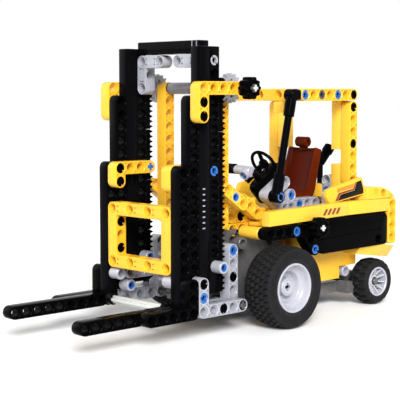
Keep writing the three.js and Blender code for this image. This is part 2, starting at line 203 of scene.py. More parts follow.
def outer_loop(points, half=HALF_BEAM, edge=EDGE):
    rings = [
        (edge, half),
        (edge * 0.3, half - edge * 0.3),
        (0, half - edge),
        (0, edge - half),
        (edge * 0.3, edge * 0.3 - half),
        (edge, -half),
    ]
    return {"points": points, "rings": rings, "ends": "both"}


def window_loop(points, half=HALF_BEAM, edge=EDGE):
    loop = outer_loop(points, half, edge)
    loop["points"] = points[::-1]
    return loop


def hole_loop(centre, half=HALF_BEAM):
    """A bore with a wider mouth at both ends."""
    lip = mm(0.2)
    narrow = RECESS_R - BORE_R
    rings = [
        (lip, half),
        (0, half - lip),
        (0, half - RECESS_DEPTH),
        (-narrow, half - RECESS_DEPTH),
        (-narrow, RECESS_DEPTH - half),
        (0, RECESS_DEPTH - half),
        (0, lip - half),
        (lip, -half),
    ]
    return {"points": circle(centre, RECESS_R)[::-1], "rings": rings, "ends": "both"}


def cross_loop(centre, half):
    lip = mm(0.12)
    rings = [(lip, half), (0, half - lip), (0, lip - half), (lip, -half)]
    return {"points": cross(centre)[::-1], "rings": rings, "ends": "both"}


def holes(places, half=HALF_BEAM):
    return [hole_loop(flat(u, v), half) for u, v in places]


def pocket_loops(points, half, depth):
    """A blind pocket in the upper face and another in the lower one."""
    outline = points[::-1]
    return [
        {"points": outline, "rings": [(0, half), (0, half - depth)], "ends": "top"},
        {"points": outline, "rings": [(0, depth - half), (0, -half)], "ends": "bottom"},
    ]


def inside(point, outline):
    crossings = 0
    for start, end in zip(outline, outline[1:] + outline[:1]):
        if (start.y > point.y) != (end.y > point.y):
            share = (point.y - start.y) / (end.y - start.y)
            crossings += point.x < start.x + share * (end.x - start.x)
    return crossings % 2 == 1


def signed_area(outline):
    return sum(a.x * b.y - b.x * a.y for a, b in zip(outline, outline[1:] + outline[:1])) / 2


def filled(loops):
    """Triangles over the area between loops, facing up, as indices into the joined loops."""
    joined = [p for loop in loops for p in loop]
    owner = [k for k, loop in enumerate(loops) for _ in loop]
    borders = []
    start = 0
    for loop in loops:
        borders += [(start + i, start + (i + 1) % len(loop)) for i in range(len(loop))]
        start += len(loop)
    solid = [signed_area(loop) > 0 for loop in loops]
    _, _, faces, origins, _, _ = delaunay_2d_cdt(joined, borders, [], 0, 1e-9)
    triangles = []
    for face in faces:
        corners = [origins[i][0] for i in face]
        a, b, c = (joined[i] for i in corners)
        owners = {owner[i] for i in corners}
        if len(owners) == 1:
            k = owners.pop()
            if inside((a + b + c) / 3, loops[k]) != solid[k]:
                continue
        if (b - a).cross(c - a) < 0:
            corners = corners[::-1]
        triangles.append(tuple(corners))
    return triangles


def slab(loops):
    points = []
    faces = []
    tops = []
    bottoms = []
    for loop in loops:
        count = len(loop["points"])
        rings = []
        for distance, height in loop["rings"]:
            ring = inset(loop["points"], distance)
            rings.append((len(points), ring))
            points += [Vector((p.x, p.y, height)) for p in ring]
        for (upper, _), (lower, _) in zip(rings, rings[1:]):
            for i in range(count):
                j = (i + 1) % count
                faces.append((upper + i, lower + i, lower + j, upper + j))
        if loop["ends"] in ("both", "top"):
            tops.append(rings[0])
        if loop["ends"] in ("both", "bottom"):
            bottoms.append(rings[-1])
        if loop["ends"] == "top":
            start, ring = rings[-1]
            end = start + count - 1
            faces += [(end - a, end - b, end - c) for a, b, c in filled([ring[::-1]])]
        if loop["ends"] == "bottom":
            start, ring = rings[0]
            end = start + count - 1
            faces += [(end - a, end - c, end - b) for a, b, c in filled([ring[::-1]])]
    for ends, upwards in ((tops, True), (bottoms, False)):
        index = [start + i for start, ring in ends for i in range(len(ring))]
        for a, b, c in filled([ring for _, ring in ends]):
            order = (a, b, c) if upwards else (a, c, b)
            faces.append(tuple(index[i] for i in order))
    return points, faces


def lathe(profile, steps):
    """A solid of revolution about w. The profile lists (radius, w), with the material on the
    left of its way, from axis to axis or closed on itself."""
    points = []
    rings = []
    for radius, along in profile:
        if radius < 1e-6:
            rings.append([len(points)] * steps)
            points.append(Vector((0, 0, along)))
            continue
        rings.append(list(range(len(points), len(points) + steps)))
        points += [Vector((p.x, p.y, along)) for p in circle(flat(0, 0), radius, steps)]
    faces = []
    for first, second in zip(rings, rings[1:]):
        for i in range(steps):
            j = (i + 1) % steps
            face = []
            for corner in (first[i], first[j], second[j], second[i]):
                if corner not in face:
                    face.append(corner)
            if len(face) > 2:
                faces.append(tuple(face))
    return points, faces


def rod(radius, half, edge, steps=28):
    return lathe(
        [(0, -half), (radius - edge, -half), (radius, edge - half),
         (radius, half - edge), (radius - edge, half), (0, half)], steps)


def pipe(outer, inner, half, edge=mm(0.2), steps=28):
    return lathe(
        [(inner, -half), (outer - edge, -half), (outer, edge - half), (outer, half - edge),
         (outer - edge, half), (inner, half), (inner, -half)], steps)


def cross_rod(half, arm=2.3, web=0.85, edge=0.1):
    """A length of cross-shaped axle, with its section in millimetres."""
    return slab([outer_loop(cross(flat(0, 0), mm(arm), mm(web)), half, mm(edge))])


def block(size_u, size_v, size_w, corner=0.0, edge=EDGE):
    outline = rectangle(-size_u / 2, -size_v / 2, size_u / 2, size_v / 2, corner)
    return slab([outer_loop(outline, size_w / 2, edge)])


# Corners of the recesses between holes: along the beam, and across it from its middle line.
NOTCH = ((-0.11, 0.37), (-0.04, 0.22), (0.04, 0.22), (0.11, 0.37))
POST_NOTCH = ((-0.15, 0.39), (-0.04, 0.22), (0.04, 0.22), (0.15, 0.39))
NOTCH_DEPTH = mm(0.7)


def beam(run, crosses=()):
    """A beam with a hole at every grid step of its run, cross-shaped where named, and small
    moulded recesses between neighbouring holes."""
    loops = [outer_loop(beam_outline(run))]
    centres = []
    for k, (start, end) in enumerate(zip(run, run[1:])):
        begin, finish = flat(*start), flat(*end)
        length = (finish - begin).length
        ahead = (finish - begin) / length
        across = flat(-ahead.y, ahead.x)
        count = round(length)
        for i in range(count + 1):
            centre = begin + ahead * i * length / count
            if i > 0 or k == 0:
                centres.append(centre)
            if i < count:
                gap = centre + ahead * length / count / 2
                for side in (1, -1):
                    notch = [gap + ahead * a * side + across * b * side for a, b in NOTCH]
                    loops += pocket_loops(notch, HALF_BEAM, NOTCH_DEPTH)
    for centre in centres:
        place = (round(centre.x, 2), round(centre.y, 2))
        if place in crosses:
            loops.append(cross_loop(centre, HALF_BEAM))
        else:
            loops.append(hole_loop(centre))
    return slab(loops)


# ------------------------------------------------------------------------------------ pieces

materials = {}


class Piece:
    """Collects solids on the grid and turns them into one visual piece."""

    def __init__(self):
        self.points = []
        self.faces = []
        self.paints = []
        self.cutters = []

    def add(self, solid, at=(0, 0, 0), turn=ALONG_X, paint=0):
        points, faces = solid
        start = len(self.points)
        self.points += [to_frame(turn @ p + Vector(at)) for p in points]
        self.faces += [tuple(start + i for i in face) for face in faces]
        self.paints += [paint] * len(faces)
        return self

    def bore(self, at, turn):
        """Cuts a hole with wide mouths across the piece, through a wall one grid step thick."""
        half = 0.5
        mouth = half - RECESS_DEPTH
        over = half + mm(0.6)
        profile = [
            (0, -over), (RECESS_R, -over), (RECESS_R, -mouth), (BORE_R, -mouth),
            (BORE_R, mouth), (RECESS_R, mouth), (RECESS_R, over), (0, over),
        ]
        points, faces = lathe(profile, CIRCLE_STEPS)
        self.cutters.append(([to_frame(turn @ p + Vector(at)) for p in points], faces))
        return self

    def done(self, name, body, *slots, replaces=(), angle=35):
        mesh = new_mesh(name, self.points, self.faces)
        piece = bpy.data.objects.new(name, mesh)
        bpy.context.scene.collection.objects.link(piece)
        for slot_name in slots:
            mesh.materials.append(materials[slot_name])
        mesh.polygons.foreach_set("material_index", self.paints)
        if self.cutters:
            cut_out(piece, self.cutters)
            mesh = piece.data
        mesh.shade_smooth()
        mesh.set_sharp_from_angle(angle=math.radians(angle))
        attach(piece, body)
        if replaces:
            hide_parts(*replaces)
        return piece

    def stand_in(self, node_name, body, *slots, angle=35):
        """Finishes the piece as the moulded form of a CAD node, which it replaces."""
        return self.done(f"{node_name}_moulding", body, *slots, replaces=(node_name,), angle=angle)


def new_mesh(name, points, faces):
    mesh = bpy.data.meshes.new(name)
    mesh.from_pydata([tuple(p) for p in points], [], faces)
    mesh.update()
    return mesh


def cut_out(piece, cutters):
    """Cuts every cutter out of a piece and applies the result."""
    points = []
    faces = []
    for cutter_points, cutter_faces in cutters:
        start = len(points)
        points += cutter_points
        faces += [tuple(start + i for i in face) for face in cutter_faces]
    tool = bpy.data.objects.new("cutter", new_mesh("cutter", points, faces))
    bpy.context.scene.collection.objects.link(tool)
    cut = piece.modifiers.new("cut", "BOOLEAN")
    cut.operation = "DIFFERENCE"
    cut.object = tool
    cut.solver = "EXACT"
    cut.use_self = True
    bpy.context.view_layer.update()
    shown = piece.evaluated_get(bpy.context.evaluated_depsgraph_get())
    result = bpy.data.meshes.new_from_object(shown)
    piece.modifiers.clear()
    old = piece.data
    piece.data = result
    bpy.data.meshes.remove(old)
    bpy.data.objects.remove(tool)


def single(solid, name, body, slot_name, at, turn=ALONG_X):
    """A piece of one solid in one material."""
    return Piece().add(solid, at, turn).done(name, body, slot_name)


def stands_for(node_name, solid, body, slot_name, at, turn=ALONG_X):
    """A moulded piece of one solid that replaces the CAD node it is named after."""
    return Piece().add(solid, at, turn).stand_in(node_name, body, slot_name)


# Fasteners are gathered by body and colour, and become one piece each.
# Each pin colour has a dark paint for the rod in its hollow: painted shade where the hollow is dark.
HOLLOW_SHADE_OF = {"blue": "pin_hollow_shade", "black": "black", "light_grey": "black", "dark_grey": "black"}
fastener_groups = {}
pin_turns = random.Random(5)


def fasteners(body, colour, kind="pins"):
    return fastener_groups.setdefault((body, colour, kind), Piece())


def facing(direction):
    """The turn that points w along a grid direction."""
    return Vector((0, 0, 1)).rotation_difference(Vector(direction)).to_matrix()


def pin(body, at, direction=(1, 0, 0), colour="blue"):
    """The end of a friction pin in a hole whose face is at the given place: a split ring around
    a hollow core, filled by a rod painted dark as painted shade in the hollow."""
    group = fasteners(body, colour)
    turn = facing(direction) @ Matrix.Rotation(pin_turns.uniform(0, math.pi), 3, "Z")
    outer, inner, gap = mm(2.95), mm(1.7), 0.2
    for begin in (gap, math.pi + gap):
        end = begin + math.pi - 2 * gap
        outline = arc(flat(0, 0), outer, begin, end, 10) + arc(flat(0, 0), inner, end, begin, 10)
        solid = slab([outer_loop(outline, mm(0.55), mm(0.15))])
        group.add(solid, at + turn @ Vector((0, 0, -mm(0.7))), turn)
    collar = pipe(mm(2.95), mm(1.75), mm(0.4), mm(0.05), 20)
    group.add(collar, at + turn @ Vector((0, 0, -mm(1.5))), turn)
    # A rod painted dark fills the hollow: painted shade.
    core = rod(mm(1.9), mm(1.0), mm(0.1), 18)
    group.add(core, at + turn @ Vector((0, 0, -mm(2.8))), turn, paint=1)


def side_pin(body, x, y, z, colour="blue"):
    """A pin end on the outer side of a piece whose middle is at x, on both sides."""
    for _, s in SIDES:
        at = Vector((s * (x + 0.5 - mm(0.15)), y, z))
        pin(body, at, (s, 0, 0), colour)


def bush(body, at, length=1.0, pinned=True, colour="light_grey"):
    """A round bush with a pin through it."""
    half = length / 2 - mm(0.15)
    turn = facing((1, 0, 0))
    group = fasteners(body, colour, "bushes")
    group.add(pipe(mm(3.65), mm(2.45), half, mm(0.25)), at, turn)
    if pinned:
        pin(body, Vector(at) + turn @ Vector((0, 0, half)))
        pin(body, Vector(at) - turn @ Vector((0, 0, half)), (-1, 0, 0))


def make_fasteners():
    for (body, colour, kind), group in fastener_groups.items():
        slots = [colour]
        if kind == "pins":
            slots.append(HOLLOW_SHADE_OF[colour])
        group.done(f"{colour}_{kind}_{body}", body, *slots)


# --------------------------------------------------------------------------------- materials


def node(tree, kind, **values):
    made = tree.nodes.new(kind)
    for key, value in values.items():
        if hasattr(made, key):
            setattr(made, key, value)
        else:
            made.inputs[key.replace("_", " ")].default_value = value
    return made


def noise(tree, place, scale, detail=3.0):
    made = node(tree, "ShaderNodeTexNoise", Scale=scale, Detail=detail)
    tree.links.new(place, made.inputs["Vector"])
    return made.outputs["Fac"]


def ranged(tree, value, low, high, start=0.3, end=0.7):
    made = tree.nodes.new("ShaderNodeMapRange")
    made.inputs["From Min"].default_value = start
    made.inputs["From Max"].default_value = end
    made.inputs["To Min"].default_value = low
    made.inputs["To Max"].default_value = high
    tree.links.new(value, made.inputs["Value"])
    return made.outputs["Result"]


def mixed(tree, share, first, second):
    made = tree.nodes.new("ShaderNodeMix")
    made.data_type = "RGBA"
    tree.links.new(share, made.inputs["Factor"])
    for name, colour in (("A", first), ("B", second)):
        socket = next(s for s in made.inputs if s.name == name and s.type == "RGBA")
        if isinstance(colour, bpy.types.NodeSocket):
            tree.links.new(colour, socket)
        else:
            socket.default_value = (*colour, 1)
    return next(s for s in made.outputs if s.type == "RGBA")


def surface(name, base, deep, edge_highlight, rough=(0.2, 0.34), relief=0.02, specular=0.5,
            grain=2600.0):
    """A moulded material: slow drift between two tones, edges mixed towards a paler colour as a
    painted highlight, smudged gloss and a fine moulded grain."""
    material = bpy.data.materials.new(name)
    material.use_nodes = True
    tree = material.node_tree
    shader = tree.nodes["Principled BSDF"]
    place = tree.nodes.new("ShaderNodeTexCoord").outputs["Object"]
    drift = ranged(tree, noise(tree, place, 70.0, 2.0), 0.0, 1.0)
    tone = mixed(tree, drift, base, deep)
    # Convex edges are mixed towards a paler colour: a painted highlight along the edges.
    edges = tree.nodes.new("ShaderNodeNewGeometry").outputs["Pointiness"]
    edge_highlight_mask = ranged(tree, edges, 0.0, 0.55, 0.52, 0.6)
    tree.links.new(mixed(tree, edge_highlight_mask, tone, edge_highlight), shader.inputs["Base Color"])
    smudges = ranged(tree, noise(tree, place, 240.0, 6.0), *rough)
    tree.links.new(smudges, shader.inputs["Roughness"])
    bump = node(tree, "ShaderNodeBump", Strength=relief, Distance=0.0002)
    tree.links.new(noise(tree, place, grain, 2.0), bump.inputs["Height"])
    tree.links.new(bump.outputs["Normal"], shader.inputs["Normal"])
    shader.inputs["Specular IOR Level"].default_value = specular
    materials[name] = material


def make_materials():
    # The third colour of each material is the paler colour of its painted edge highlight.
    surface("yellow", (0.84, 0.46, 0.022), (0.80, 0.42, 0.018), (0.92, 0.60, 0.08),
            rough=(0.22, 0.36), specular=0.24)
    surface("black", (0.0010, 0.0010, 0.0013), (0.0014, 0.0014, 0.0017), (0.004, 0.004, 0.005),
            rough=(0.1, 0.2), specular=0.02)
    surface("light_grey", (0.335, 0.34, 0.385), (0.31, 0.315, 0.36), (0.44, 0.44, 0.5))
    surface("mid_grey", (0.21, 0.205, 0.22), (0.19, 0.185, 0.2), (0.28, 0.28, 0.3))
    surface("dark_grey", (0.075, 0.070, 0.070), (0.062, 0.058, 0.058), (0.12, 0.12, 0.12))
    surface("brown", (0.062, 0.0062, 0.0014), (0.050, 0.0048, 0.001), (0.12, 0.016, 0.002),
            rough=(0.3, 0.45), specular=0.03)
    surface("blue", (0.014, 0.115, 0.44), (0.011, 0.095, 0.38), (0.06, 0.24, 0.66))
    # Painted shade in the hollow of the blue pins.
    surface("pin_hollow_shade", (0.002, 0.010, 0.045), (0.0015, 0.008, 0.035), (0.004, 0.02, 0.08),
            specular=0.15)
    surface("rubber", (0.0135, 0.0135, 0.0145), (0.010, 0.010, 0.011), (0.022, 0.022, 0.024),
            rough=(0.5, 0.7), relief=0.12, specular=0.08, grain=1900.0)
    surface("rim", (0.41, 0.41, 0.46), (0.38, 0.38, 0.43), (0.5, 0.5, 0.55))
    surface("white", (0.55, 0.55, 0.53), (0.51, 0.51, 0.49), (0.62, 0.62, 0.6))
    surface("red_print", (0.2, 0.014, 0.006), (0.17, 0.011, 0.005), (0.24, 0.02, 0.01))
    surface("orange_print", (0.75, 0.2, 0.012), (0.7, 0.17, 0.01), (0.8, 0.25, 0.02))
    surface("black_print", (0.003, 0.0025, 0.0025), (0.004, 0.0035, 0.003), (0.01, 0.01, 0.01),
            specular=0.1)


# ------------------------------------------------------------------------------------ the mast


# Each row is a beam on both sides: its CAD node, grid run, distance from the middle and colour.
MAST_BEAMS = (
    ("mast_post", [(0, -1), (0, -15)], 4, "black"),
    ("mast_top_bracket", [(4, 0), (0, 0), (0, -2)], 5, "yellow"),
    ("mast_rear_beam", [(4, 0), (4, -10)], 3, "yellow"),
    ("mast_foot_bracket", [(0, -14), (0, -16), (4, -16)], 5, "light_grey"),
    ("mast_foot_upright", [(4, -12), (4, -16)], 4, "light_grey"),
)


def mast():
    for side, s in SIDES:
        for node_name, run, x, colour in MAST_BEAMS:
            stands_for(f"{node_name}_{side}", beam(run), "mast", colour, (x * s, 0, 0))
        single(beam([(1.8, -16), (3.0, -16)]), f"mast_foot_spacer_{side}", "mast", "light_grey",
               (4 * s, 0, 0))
        tilt_arm(side, s)
        bush("mast", (3 * s, 0, -15))
        bush("mast", (4 * s, 4.28, -8.05), length=0.9)
    for z in (-1, -2):
        side_pin("mast", 5, 0, z, "black")
    side_pin("mast", 5, 0, -15)
    for y, z in ((0, -14), (2, -16), (4, -16)):
        side_pin("mast", 5, y, z, "black")
    side_pin("mast", 4, 4, -12)
    side_pin("mast", 4, 4, -14, "black")
    axle = cross_rod(5.5)
    stands_for("mast_pivot_axle", axle, "mast", "dark_grey", grid_of("mast_pivot_axle"))


def tilt_arm(side, s):
    """A short slanted beam behind each rack."""
    arm = beam([(3.45, -7.48), (5.09, -8.62)])
    single(arm, f"tilt_arm_{side}", "mast", "yellow", (4 * s, 0, 0))


# -------------------------------------------------------------------------------- the carriage

COLUMN_TOP = 3
COLUMN_FOOT = -15
CARRIAGE_Y = -1


def column_outline(y):
    inner = HALF_BEAM
    return rectangle(y - inner, COLUMN_FOOT, y + inner, COLUMN_TOP, mm(0.5), 2)


def carriage():
    for side, s in SIDES:
        smooth_column(side, s)
        holed_column(side, s)
        rack(side, s)
        carriage_post(side, s)
        stands_for(f"carriage_arm_{side}",
                   beam([(2, -6), (CARRIAGE_Y, -6), (CARRIAGE_Y, -7)], crosses=((2.0, -6.0),)),
                   "carriage", "yellow", (3 * s, 0, 0))
        stands_for(f"fork_bracket_{side}",
                   beam([(CARRIAGE_Y, -14), (CARRIAGE_Y, -16), (CARRIAGE_Y - 4, -16)]),
                   "carriage", "black", (5 * s, 0, 0))
        stands_for(f"fork_{side}", beam([(-2, -16), (-10, -16)]), "carriage", "black",
                   (4 * s, 0, 0))
        single(beam([(0, -14), (2, -14)]), f"carriage_foot_arm_{side}", "carriage",
               "light_grey", (3 * s, 0, 0))
        bush("carriage", (3 * s, CARRIAGE_Y, -14), pinned=False)
        bush("carriage", (5 * s, 2, -13))
        bush("carriage", (3 * s, 2, -13), length=0.9)
        top_connector(side, s)
        pin("carriage", Vector((s * 4.48, 2, -6)), (s, 0, 0))
        pin("carriage", Vector((s * 4.48, 2, 2)), (s, 0, 0), "light_grey")
        for z in (-6, -7):
            pin("carriage", Vector((s * 3.48, CARRIAGE_Y, z)), (s, 0, 0), "black")
            pin("carriage", Vector((s * 2.52, CARRIAGE_Y, z)), (-s, 0, 0), "black")
        cross_stub = cross_rod(0.49)
        fasteners("carriage", "blue").add(cross_stub, (3 * s, 2, -6))
    carriage_frame()
    crossbar()
    cross_axle()


def smooth_column(side, s):
    """A smooth cover column with a narrow row of plain dashes down its outer face."""
    solid = slab([outer_loop(column_outline(1))])
    stands_for(f"slide_column_{side}", solid, "carriage", "black", (4 * s, 0, 0))
    marks = Piece()
    face = 4 + HALF_BEAM + mm(0.02)
    for i in range(8):
        dash = block(0.24, 0.09, mm(0.06), edge=mm(0.01))
        marks.add(dash, (face * s, 0.93, -7.25 - 0.41 * i))
    marks.done(f"column_marks_{side}", "carriage", "light_grey")


def holed_column(side, s):
    loops = [outer_loop(column_outline(2))] + holes((2, z) for z in range(2, -13, -1))
    stands_for(f"lift_column_{side}", slab(loops), "carriage", "black", (4 * s, 0, 0))


def rack(side, s):
    """Toothed racks of ten teeth each behind the holed column, with a fine gap between them."""
    low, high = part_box(f"rack_{side}")
    back = (low.y - GRID_ORIGIN.y) / SPACING
    tip = (high.y - GRID_ORIGIN.y) / SPACING
    foot = (low.z - GRID_ORIGIN.z) / SPACING
    top = (high.z - GRID_ORIGIN.z) / SPACING
    teeth = 40
    pitch = (top - foot) / teeth
    root = tip - mm(2.0)
    piece = Piece()
    for part in range(4):
        begin = foot + part * 10 * pitch
        end = begin + 10 * pitch - mm(0.3)
        outline = [flat(back, end), flat(back, begin), flat(root, begin)]
        for tooth in range(10):
            centre = begin + (tooth + 0.5) * pitch
            for offset, reach in ((-0.32, root), (-0.08, tip), (0.08, tip), (0.32, root)):
                outline.append(flat(reach, centre + offset * pitch))
        outline.append(flat(root, end))
        piece.add(slab([outer_loop(outline, HALF_BEAM, mm(0.12))]), (4 * s, 0, 0))
    piece.stand_in(f"rack_{side}", "carriage", "black")


def carriage_post(side, s):
    foot = -16.5 + mm(0.15)
    y = CARRIAGE_Y
    outline = rectangle(y - HALF_BEAM, foot, y + HALF_BEAM, -6)[:2]
    outline += arc(flat(y, -6), HALF_BEAM, 0, math.pi, 12)
    loops = [outer_loop(outline)]
    for z in range(-6, -14, -1):
        loops.append(hole_loop(flat(y, z)))
        if z > -13:
            for side_sign in (1, -1):
                notch = [flat(y - b * side_sign, z - 0.5 + a * side_sign) for a, b in POST_NOTCH]
                loops += pocket_loops(notch, HALF_BEAM, NOTCH_DEPTH)
    stands_for(f"carriage_post_{side}", slab(loops), "carriage", "black", (4 * s, 0, 0))


def carriage_frame():
    """A rectangular frame with holes to the front in its upper and lower bars, holes to the
    sides in its uprights and small moulded slots beside the front holes."""
    outline = rectangle(-3.48, -13.48, 3.48, -8.52, 0.45, 6)
    window = rectangle(-2.5, -12.5, 2.5, -9.5, 0.12, 3)
    loops = [outer_loop(outline), window_loop(window)]
    for x in (-3, -1, 1, 3):
        for z in (-9, -13):
            loops.append(hole_loop(flat(x, z)))
            if x < 3:
                loops += pocket_loops(slot_mark(x + 0.6, z, True, 0.22, 0.14), HALF_BEAM, mm(1.8))
    piece = Piece().add(slab(loops), (0, CARRIAGE_Y, 0), ALONG_Y)
    for s in (1, -1):
        for z in (-10, -11, -12):
            piece.bore((3 * s, CARRIAGE_Y, z), ALONG_X)
    for x in (-2, 0, 2):
        for z in (-9, -13):
            piece.bore((x, CARRIAGE_Y, z), ALONG_Z)
    piece.stand_in("carriage_frame", "carriage", "yellow")
    for s in (1, -1):
        for z in (-10, -12):
            pin("carriage", Vector((s * 2.52, CARRIAGE_Y, z)), (-s, 0, 0), "black")


def slot_mark(u, v, upright, high, wide):
    """The outline of a recess with a narrow waist, upright or lying."""
    waist = 0.04
    foot = 0.07
    corners = (
        (-wide, -high), (wide, -high), (wide, foot - high), (waist, foot - high),
        (waist, high - foot), (wide, high - foot), (wide, high), (-wide, high),
        (-wide, high - foot), (-waist, high - foot), (-waist, foot - high), (-wide, foot - high),
    )
    if upright:
        return [flat(u + a, v + b) for a, b in corners]
    return [flat(u - b, v + a) for a, b in corners]


def crossbar():
    """The bar across the columns' tops, with two thin mid grey strips near its left end as painted
    highlights.
    """
    outline = rectangle(-3.42, 2.52, 3.36, 3.48, mm(0.6), 3)
    piece = Piece().add(slab([outer_loop(outline)]), (0, 2, 0), ALONG_Y)
    for x in (-2, 0, 2):
        piece.bore((x, 2, 3), ALONG_Z)
    piece.stand_in("top_crossbar", "carriage", "black")
    # Two thin mid grey strips on the black bar stand for glints at its end: painted highlights.
    highlight_marks = Piece()
    for x in (2.62, 3.1):
        highlight_marks.add(block(0.07, 0.7, 0.1, 0.02, mm(0.1)), (x, 1.53, 3.1), ALONG_Y)
    highlight_marks.done("crossbar_painted_highlights", "carriage", "mid_grey")


def top_connector(side, s):
    """A light grey corner connector under the crossbar's end."""
    run = [(1 * s, 2), (3 * s, 2), (3 * s, 0)]
    if s < 0:
        run = run[::-1]
    loops = [outer_loop(beam_outline(run))] + holes(((1 * s, 2), (3 * s, 2), (3 * s, 0)))
    for x, z, upright in ((1.52, 2, True), (2.48, 2, True), (3, 1.48, False), (3, 0.52, False)):
        loops += pocket_loops(slot_mark(x * s, z, upright, 0.24, 0.1), HALF_BEAM, mm(1.0))
    piece = Piece().add(slab(loops), (0, 2, 0), ALONG_Y)
    piece.bore((3 * s, 2, 1), ALONG_X)
    piece.bore((2 * s, 2, 2), ALONG_Z)
    piece.done(f"top_connector_{side}", "carriage", "light_grey")


def cross_axle():
    """A pale cross axle between the forks, with a black bush at each end."""
    bar = cross_rod(2.9)
    single(bar, "fork_cross_axle", "carriage", "white", (0.35, -1.75, -15.85))
    for x in (-2.75, 3.3):
        fasteners("carriage", "black", "bushes").add(
            pipe(mm(3.6), mm(2.3), 0.24), (x, -1.75, -15.85))


# -------------------------------------------------------------------------------- lift drive


def gear():
    """The two solids of a sixteen-tooth gear: a disc with round holes, and a thicker hub."""
    teeth = 16
    pitch_r, tip_r, root_r = 1.0, 1.0 + mm(0.85), 1.0 - mm(1.15)
    outline = []
    for tooth in range(teeth):
        centre = 2 * math.pi * tooth / teeth
        for radius, offset in ((root_r, -0.125), (pitch_r, -0.085), (tip_r, -0.035),
                               (tip_r, 0.035), (pitch_r, 0.085), (root_r, 0.125)):
            angle = centre + offset
            outline.append(radius * flat(math.cos(angle), math.sin(angle)))
    loops = [outer_loop(outline, mm(1.9), mm(0.15)), cross_loop(flat(0, 0), mm(1.9))]
    for k in range(6):
        angle = math.pi * (k + 0.5) / 3
        centre = 0.56 * flat(math.cos(angle), math.sin(angle))
        loops.append(window_loop(circle(centre, 0.13, 12), mm(1.9), mm(0.1)))
    hub = [outer_loop(circle(flat(0, 0), 0.4), mm(3.8), mm(0.2)), cross_loop(flat(0, 0), mm(3.8))]
    return [slab(loops), slab(hub)]


def ribbed_knob():
    """A knob whose rim is a ring of round ribs, with a cross hole and curved recesses."""
    ribs = 10
    radius = mm(5.6)
    rib = mm(1.15)
    centre = flat(0, 0)
    outline = []
    for k in range(ribs):
        angle = 2 * math.pi * k / ribs
        rib_centre = radius * flat(math.cos(angle), math.sin(angle))
        outline += arc(rib_centre, rib, angle - 1.45, angle + 1.45, 7)
    half = mm(3.4)
    loops = [outer_loop(outline, half, mm(0.85)), cross_loop(centre, half)]
    for begin in (0, math.pi):
        recess = arc(centre, mm(4.3), begin + 0.25, begin + math.pi - 0.25, 12)
        recess += arc(centre, mm(3.2), begin + math.pi - 0.35, begin + 0.35, 10)
        loops += pocket_loops(recess, half, mm(0.9))
    return slab(loops)


def lift_shaft():
    axle = cross_rod(6.12)
    stands_for("lift_axle", axle, "lift_shaft", "dark_grey", grid_of("lift_axle"))
    for side, s in SIDES:
        at = grid_of(f"lift_gear_{side}")
        piece = Piece()
        for solid in gear():
            piece.add(solid, at)
        piece.stand_in(f"lift_gear_{side}", "lift_shaft", "light_grey")
        tube = pipe(mm(3.6), mm(2.5), 1.17, mm(0.3))
        single(tube, f"axle_joiner_{side}", "lift_shaft", "mid_grey", (1.19 * s, at.y, at.z))
    stands_for("lift_knob", ribbed_knob(), "lift_shaft", "black", grid_of("lift_knob"))
    tip = cross_rod(0.3, 1.8, 0.7, 0.15)
    _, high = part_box("lift_axle")
    end = high.x / SPACING - 0.3
    single(tip, "lift_axle_tip", "lift_shaft", "white", (end, 4, 0))


def tilt_knob():
    _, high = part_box("tilt_knob")
    at = grid_of("tilt_knob")
    outer_x = high.x / SPACING
    piece = Piece()
    piece.add(ribbed_knob(), (outer_x - 0.5 + mm(0.15), at.y, at.z))
    stub = cross_rod(0.75, 2.2, 0.85)
    piece.add(stub, (outer_x - 1.2, at.y, at.z))
    tip = cross_rod(0.25, 1.8, 0.7, 0.12)
    piece.add(tip, (outer_x - 0.24, at.y, at.z), paint=1)
    piece.stand_in("tilt_knob", "tilt_knob", "black", "white")


# ------------------------------------------------------------------------------------- wheels


def smooth_step(value, low, high):
    share = min(1.0, max(0.0, (value - low) / (high - low)))
    return share * share * (3 - 2 * share)


def groove(position, width, soft):
    """1 in the middle of a groove at 0, falling to 0 outside it."""
    return 1 - smooth_step(abs(position), width / 2, width / 2 + soft)


def road_tread(turn, across):
    """Depth in millimetres of a road tyre's tread at a share of the turn and a place across."""
    blocks = 38
    phase = turn * blocks
    zigzag = 0.45 * abs((phase % 1) * 2 - 1)
    depth = 0.0
    for line in (-5.6, -1.9, 1.9, 5.6):
        depth = max(depth, groove(across - line - zigzag + 0.22, 0.55, 0.4))
    rib = int((across + 9.3) // 3.72)
    shift = 0.5 * (rib % 2) + 0.06 * across
    sipe = (phase + shift) % 1 - 0.5
    depth = max(depth, groove(sipe, 0.13, 0.1))
    return 1.25 * depth


def block_tread(turn, across):
    """Depth in millimetres of a chunky tread: two rows of staggered lugs."""
    lugs = 18
    shift = 0.5 if across > 0 else 0.0
    phase = (turn * lugs + shift + 0.03 * across) % 1 - 0.5
    gap = 1 - smooth_step(abs(abs(phase) - 0.5), 0.2, 0.3)
    middle_gap = groove(across, 0.5, 0.5)
    return 1.55 * max(gap, 0.75 * middle_gap * (1 - smooth_step(abs(phase), 0.05, 0.2)))


